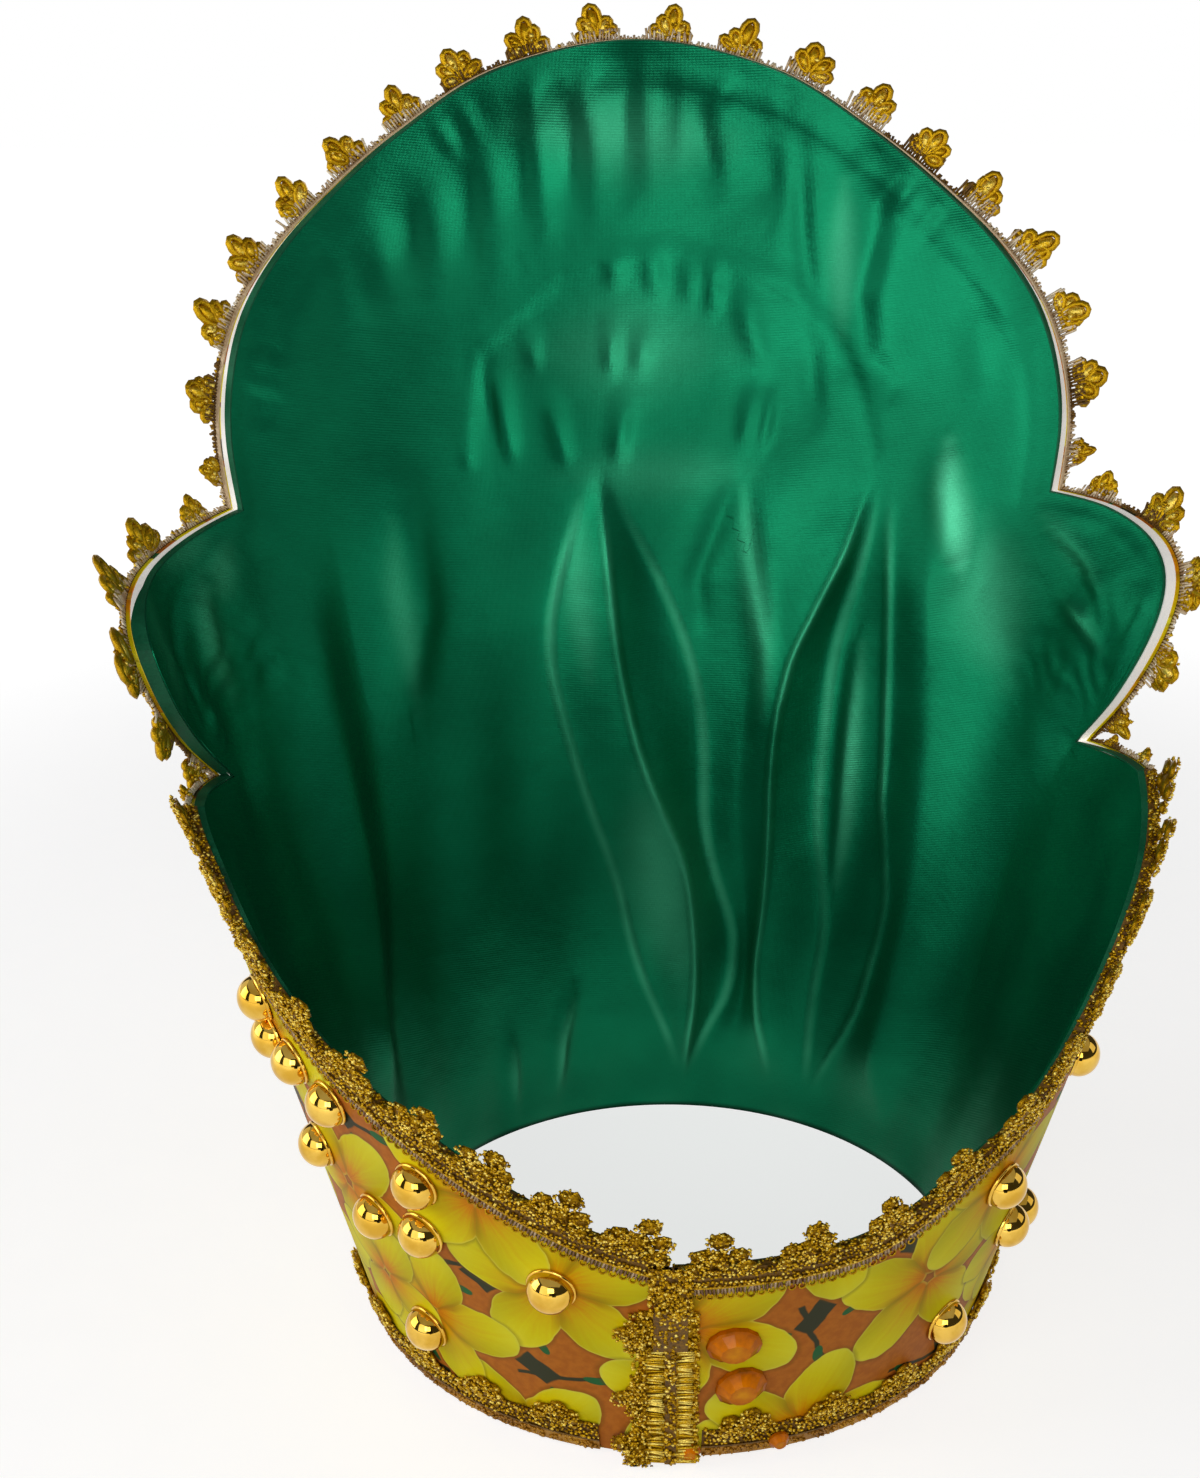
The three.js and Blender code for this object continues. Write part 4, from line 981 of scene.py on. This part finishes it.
def sewTopLace():
    route = laceRoute([stretch["edge"] for stretch in stretches])
    total, starts, sewn = route["run"][-1], route["starts"], Stitches()
    rightFrom, longer = topLace["rightRoots"]
    roots = np.zeros(int(total) + 2)  # how tall they stand at each millimetre
    for n, stretch in enumerate(stretches):
        pitch = (starts[n + 1] - starts[n]) / stretch["picots"]
        for k in range(stretch["picots"]):
            middle = starts[n] + (k + 0.5) * pitch
            angle, height = routeAt(route, middle)
            share = np.interp((k + 0.5) / stretch["picots"], (0, 1), stretch["rise"])
            scale = max(share * notchRoom(angle, height, stretch["room"]), 0.3)
            lift = longer if n == topLace["arch"] and angle > rightFrom else 1.0  # down the right of the arch
            if n in topLace["bands"]:
                mound(sewn, middle, scale, 1.0)
            else:
                picot(sewn, middle, scale, laceFan["foot"] * lift * min(1, scale + 0.15))
            span = topLace["rootSpan"] * scale
            low, high = int(max(0, middle - span)), int(min(total, middle + span))
            roots[low:high + 1] = topLace["roots"] * scale * lift**0.6
    bandEnd, bandStart = starts[1], starts[topLace["bands"][1]]
    for row in topLace["grainRows"]:
        along = 0.4
        while along < total - 0.4:
            band = along < bandEnd or along > bandStart
            if row > 1 and not band:
                break
            gap = topLace["grainGap"][0 if band else 1]  # finer on the band, where it faces the eye
            spot = (along, row + chance.normal(0, 0.25), 0.7 + chance.uniform(-0.2, 0.45))
            sewn.grain(spot, gap * chance.uniform(0.45, 0.62), glint())
            along += gap * chance.uniform(0.8, 1.2)
    low, high = topLace["ladder"]
    for k in range(int(total / topLace["ladderGap"])):
        along = (k + 0.5) * topLace["ladderGap"]
        ends = (along, low, 0.45), (along + chance.normal(0, 0.3), high, 0.5)
        sewn.bar(*ends, 0.4, chance.uniform(-0.1, 0.45))
    for k in range(int(total / topLace["borderGap"])):
        spot = ((k + 0.5) * topLace["borderGap"], topLace["border"] + chance.normal(0, 0.15), 0.4)
        sewn.ring(spot, (0.9, 1.2), 0, 0.36, chance.uniform(0.2, 0.6), smallRing)
    for k in range(int(total / topLace["rootGap"])):
        along = (k + 0.5) * topLace["rootGap"]
        if not bandEnd < along < bandStart:
            continue
        dark = math.sin(along * 0.083) + math.sin(along * 0.047 + 1) > 0.75  # painted shade: for stretches the roots take the dark tape finish, as if in shadow
        tall = max(roots[int(along)], 1.7) + chance.normal(0, 0.3)
        ends = (along, 0.25, -0.1), (along + chance.normal(0, 0.5), tall, 0.2)
        sewn.bar(*ends, 0.4, chance.uniform(0.35, 1.0), 2 if dark else 1)
    first, last = topLace["end"], total - topLace["end"]
    sewn.strip(first, last, *topLace["cord"], (0.3, 0.9), 2.0, 0, 0.35)
    sewn.strip(first, last, *topLace["groove"], (0.3, 0.5), 2.0, 2)
    sewn.strip(first, last, *topLace["tape"], (0.02, 0.3), 2.4, 2)
    sewn.strip(*starts[3:5], 0.1, 0.6, (-1.3, 0.02), 1.8, 1, 0.55)  # over the raw edge of the arch
    for start, end in ((first, bandEnd), (bandStart, last)):  # and right over the card on the band
        sewn.strip(start, end, 0.52, 0.9, (-2.4, 0.02), 1.8, 2)
        for _ in range(int((end - start) * topLace["turnedOver"])):
            spot = (chance.uniform(start, end), 1.0 + chance.uniform(0, 0.6), chance.uniform(-2.2, 0.4))
            sewn.grain(spot, chance.uniform(0.5, 0.72), glint())

    def curl(points):  # the picots of the lobes curl outward
        angle, height = routeAt(route, points[:, 0])
        share = topLace["curl"] * smooth(np.abs(angle), *topLace["curlFrom"])
        share = share * smooth(height, *topLace["curlAbove"])
        return points[:, 2] + share * np.maximum(points[:, 1] - 1.0, 0)

    return sewn.mesh("topLace", route, curl, 14.0)


topPiece = placeLace(sewTopLace(), "top_lace")

# Gold lace round the foot, over an amber ribbon
footLace = {"line": 8.2, "ends": (-160.5, 183.0), "picots": 25, "picotFoot": 2.2, "picotTall": 0.68,
            "grainGap": 1.25, "grainRows": 6, "firstRow": -2.4, "rowGap": 1.1,
            "ribbon": (-7.5, -3.4), "weave": 0.9, "top": 2.6}


def sewFootLace():
    route = laceRoute([[(end, footLace["line"]) for end in footLace["ends"]]], 600)
    total, sewn = route["run"][-1], Stitches()
    pitch = total / footLace["picots"]
    for k in range(footLace["picots"]):
        size = chance.uniform(0.95, 1.1)
        mound(sewn, (k + 0.5) * pitch, size, footLace["picotFoot"], footLace["picotTall"])
    for row in range(footLace["grainRows"]):
        for k in range(int(total / footLace["grainGap"])):
            along = (k + 0.5 * (row % 2) + chance.normal(0, 0.2)) * footLace["grainGap"]
            up = footLace["firstRow"] + row * footLace["rowGap"] + chance.normal(0, 0.25)
            sewn.grain((along, up, 0.7 + chance.uniform(-0.15, 0.45)), chance.uniform(0.55, 0.8), glint())
    low, high = footLace["ribbon"]
    for _ in range(int(total * (high - low) * footLace["weave"])):  # woven amber edge
        along, up = chance.uniform(0, total), chance.uniform(low + 0.4, high - 0.9)
        spot = (along, up, 0.75 + chance.uniform(-0.1, 0.3))
        sewn.grain(spot, chance.uniform(0.5, 0.8), chance.uniform(0, 1), 3)
    sewn.strip(0, total, low, high, (0.05, 0.8), 2.5, 3)
    sewn.strip(0, total, high - 0.6, high, (0.3, 1.0), 2.5, 2)
    sewn.strip(0, total, high, footLace["top"], (0.02, 0.3), 2.5, 2)
    return sewn.mesh("footLace", route)


footPiece = placeLace(sewFootLace(), "bottom_lace", amberRibbon)

# Lace over the back seam: two ladders with a groove between, picots to one side
seamLace = {
    "top": 58.0, "ladders": [(1.9, 6.6), (-6.2, -1.9)], "ladderFrom": 15.0, "ladderGap": 0.85,
    "picots": (10, 36, 54), "picotFoot": 6.4, "picotTall": 0.75, "sides": [(6.8, 10.5), (-7.4, -6.4)],
    "head": (-6.5, 6.4), "groove": (-1.4, 1.4), "tucked": 440, "flick": 3.2, "flickOver": 14,
}


def sewSeamLace():
    route = laceRoute([[(wall["seam"], 75), (wall["seam"], wall["foot"])]], 200)
    zero = np.interp(-seamLace["top"], -route["height"], route["run"])  # where the lace starts
    route["run"] = route["run"] - zero
    total, ladderFrom, sewn = route["run"][-1], seamLace["ladderFrom"], Stitches()
    for low, high in seamLace["ladders"]:
        for k in range(int((total - ladderFrom) / seamLace["ladderGap"])):
            along = ladderFrom + (k + 0.4) * seamLace["ladderGap"]
            lowEnd, highEnd = (low, high) + chance.normal(0, 0.4, 2)
            slant, lift = chance.normal(0, 0.45), chance.normal(0, 0.15)
            ends = (along, lowEnd, 0.9), (along + slant, highEnd, 0.9 + lift)
            sewn.bar(*ends, chance.uniform(0.34, 0.46), chance.uniform(0.5, 1.15), 0)
    for middle in seamLace["picots"]:
        mound(sewn, min(middle, total - 4), 1.0, seamLace["picotFoot"], seamLace["picotTall"])
    patches = [(*side, 0, total) for side in seamLace["sides"]]
    patches += [(*seamLace["head"], 0, ladderFrom), (*seamLace["groove"], ladderFrom, total)]
    for low, high, first, last in patches:
        for _ in range(int((high - low + 1.0) * (last - first))):
            spot = (chance.uniform(first, last), chance.uniform(low, high), 0.75 + chance.uniform(-0.2, 0.6))
            sewn.grain(spot, chance.uniform(0.55, 0.8), glint(1.05))
    for _ in range(seamLace["tucked"]):  # the end of the top lace tucked over the slit
        spot = (chance.uniform(-18.5, 1), chance.uniform(-5.5, 5.5), 1.4 + chance.uniform(-0.3, 0.6))
        sewn.grain(spot, chance.uniform(0.6, 0.85), glint())
    sewn.strip(-17.5, ladderFrom, -4.5, 4.5, (0.9, 1.2), 3.0, 2)
    sewn.strip(ladderFrom, total, -1.5, 1.5, (0.3, 0.8), 3.0, 2)
    sewn.strip(0, total, -6.9, 8.5, (0.02, 0.35), 3.0, 0, 0.4)

    def flick(points):  # the foot of the lace stands off the wall
        return points[:, 2] + seamLace["flick"] * smooth(points[:, 0], total - seamLace["flickOver"], total)

    return sewn.mesh("seamLace", route, flick)


seamPiece = placeLace(sewSeamLace(), "seam_lace")

# Turned hem: the satin folded over the card's edge, less far where white card shows
hem = {"thick": (0.06, 0.5), "step": 1.8, "turn": [  # place in stretches, start and reach over the card
    (0.5, 2.7, 1.6), (1.5, 1.4, 3.0), (2.0, 0.5, 4.0), (2.5, 0.3, 4.0), (2.62, 0, 1.8), (3.0, 0, 1.8),
    (3.2, 0, 3.0), (3.8, 0, 3.0), (4.0, 0, 0.4), (5.0, 0, 0.4), (5.5, 1.4, 3.0), (6.5, 2.7, 1.6)]}


def foldHem():
    route, sewn = laceRoute([stretch["edge"] for stretch in stretches]), Stitches()
    places, firsts, reaches = np.array(hem["turn"]).T
    turns = np.interp(places, range(len(route["starts"])), route["starts"])
    sewn.strip(0.1, route["run"][-1] - 0.1, *hem["thick"], (0, 1), hem["step"], 0)

    def over(points):
        along, out = points[:, 0], points[:, 2]
        return out * np.interp(along, turns, reaches) + (np.interp(along, turns, firsts) - wall["lace"])

    return sewn.mesh("satinHem", route, over)


hemPiece = place("satinHem", foldHem(), [hemSatin], "satin", "satin_lining")

# Domed studs: low rim and a polished dome, spun from a profile
stud = {
    "radius": 7.0, "rim": 0.8, "height": 6.8, "dome": 0.94, "domeRows": 12, "steps": 40, "sharp": 40,
    "places": [
        (-110, 121), (-109, 107.5), (-116.5, 107), (-124, 101), (-114, 76), (-138, 86.5), (-126.5, 64.5),
        (-136.5, 68), (-156, 62), (-131, 27.5), (113, 91.5), (136.8, 73), (117, 42), (126, 46.5), (140, 26.5),
    ],
}


def wallStand(angle, height, depth):  # frame on the wall with its third axis outward
    at = lambda a, h: Vector(wallPoint(np.array(a, float), np.array(h, float), depth))
    here = at(angle, height)
    along = (at(angle + 0.5, height) - here).normalized()
    up = (at(angle, height + 1) - here).normalized()
    out = up.cross(along).normalized()
    side = out.cross(along)
    return standing(along, side, out, here)


def studMesh(name, angle, height):
    bm = bmesh.new()
    radius, rim, tall, dome = stud["radius"], stud["rim"], stud["height"], stud["radius"] * stud["dome"]
    profile = [(0, 0), (radius, 0), (radius, rim * 0.5), (radius * 0.985, rim * 0.8), (dome, rim)]
    for turn in np.linspace(0.06, math.pi / 2, stud["domeRows"])[:-1]:
        profile.append((dome * math.cos(turn), rim + (tall - rim) * math.sin(turn)))
    profile.append((0, tall))
    verts = [bm.verts.new((x * mm, 0, z * mm)) for x, z in profile]
    edges = [bm.edges.new(pair) for pair in zip(verts[:-1], verts[1:])]
    spin(bm, verts + edges, stud["steps"], 1e-6)
    for face in bm.faces:
        face.smooth = True
    bmesh.ops.transform(bm, matrix=wallStand(angle, height, wall["lace"]), verts=bm.verts[:])
    mesh = meshFrom(bm, name)
    mesh.set_sharp_from_angle(angle=math.radians(stud["sharp"]))
    return mesh


studPieces, stonePieces = [], []
for n, (angle, height) in enumerate(stud["places"], 1):
    name = f"goldStud_{n:02d}"
    studPieces.append(place(name, studMesh(name, angle, height), [mirrorGold], "gold_stud", f"stud_{n:02d}"))
for name in ("stone_upper", "stone_lower", "stone_small_orange", "stone_small_amber"):
    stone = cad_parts[name]
    corners = [Vector(corner) for corner in stone.bound_box]
    middle, half = sum(corners, Vector()) / 8, (corners[6] - corners[0]).length / 2
    stonePieces.append(stone)
    stone.data.materials.clear()
    stone.data.materials.append(stoneFinish("orange_" + name, middle, half))
print("studs and stones in place")

# Studio: pale floor that glows a little, and soft lights
studio = {
    "floor": 9.0, "sky": 0.05, "shade": ((0.02, -0.72, 0.08), (0.11, 0.05, 0.12)),
    "lamps": [  # place, aim, width, height, power, and the pieces it is kept to
        ((-0.25, -1.7, 0.75), (0.0, 0.05, 0.2), 0.9, 0.7, 8.4, "all"),
        ((-0.9, -1.28, 0.58), (0.0, 0.05, 0.2), 1.2, 1.0, 6.0, "all"),
        ((-1.6, 0.0, 0.6), (0.0, 0.05, 0.2), 1.0, 1.0, 9.0, "all"),
        ((1.5, -0.2, 0.8), (0.0, 0.05, 0.2), 0.9, 0.9, 2.5, "all"),
        ((0.0, -0.2, 1.7), (0.0, -0.2, 0.0), 3.6, 3.6, 16.0, "studs"),
        ((-1.5, 0.6, 0.6), (0.0, 0.0, 0.1), 1.8, 1.2, 5.0, "studs"),
        ((1.0, -1.2, 0.5), (0.0, -0.1, 0.05), 1.0, 0.8, 3.0, "outside"),
        ((0.9, 1.5, 0.7), (0.0, 0.1, 0.2), 1.2, 1.0, 8.0, "outside"),
        ((-0.9, 1.5, 0.7), (0.0, 0.1, 0.2), 1.2, 1.0, 8.0, "outside"),
    ],
}
bm = bmesh.new()
bmesh.ops.create_grid(bm, x_segments=2, y_segments=2, size=studio["floor"])
floorPiece = addObject("paleFloor", meshFrom(bm, "paleFloor"))
floorPiece.data.materials.append(floorFinish())
floorPiece.visible_diffuse = False  # matt surfaces take no light from its glow
bm = bmesh.new()
shadeAt, shadeSize = studio["shade"]
shadeStand = Matrix.Translation(shadeAt) @ Matrix.Diagonal((*shadeSize, 1))
bmesh.ops.create_icosphere(bm, subdivisions=3, radius=1, matrix=shadeStand)
shadePiece = addObject("cameraShade", meshFrom(bm, "cameraShade"))  # the dark spot mirrored in the studs
shadePiece.data.materials.append(Finish("darkShade", Base_Color=rgb(14, 12, 10), Roughness=0.8).material)
shadePiece.visible_camera = shadePiece.visible_diffuse = shadePiece.visible_shadow = False
groups = {"studs": studPieces, "outside": [printedCover, topPiece, footPiece, seamPiece] + stonePieces}
for name in groups:
    group = bpy.data.collections.new(name)
    for piece in groups[name]:
        group.objects.link(piece)
    groups[name] = group
for n, (spot, aim, wide, tall, power, kept) in enumerate(studio["lamps"]):
    lamp = bpy.data.lights.new(f"softbox{n}", "AREA")
    lamp.shape = "RECTANGLE"
    lamp.size, lamp.size_y, lamp.energy = wide, tall, power
    light = addObject(f"softbox{n}", lamp)
    light.location = spot
    light.rotation_euler = (Vector(aim) - Vector(spot)).to_track_quat("-Z", "Y").to_euler()
    if kept != "all":
        light.light_linking.receiver_collection = groups[kept]
sky = bpy.data.worlds.new("sky")
sky.use_nodes = True
paint = sky.node_tree.nodes["Background"]
paint.inputs[0].default_value = (1, 1, 1, 1)
seen = sky.node_tree.nodes.new("ShaderNodeLightPath")  # white behind the crown, dimmer as light
bright = sky.node_tree.nodes.new("ShaderNodeMapRange")
bright.inputs[3].default_value, bright.inputs[4].default_value = studio["sky"], 1.0
sky.node_tree.links.new(seen.outputs["Is Camera Ray"], bright.inputs[0])
sky.node_tree.links.new(bright.outputs[0], paint.inputs[1])
bpy.context.scene.world = sky
bpy.context.scene.view_settings.view_transform = "Standard"
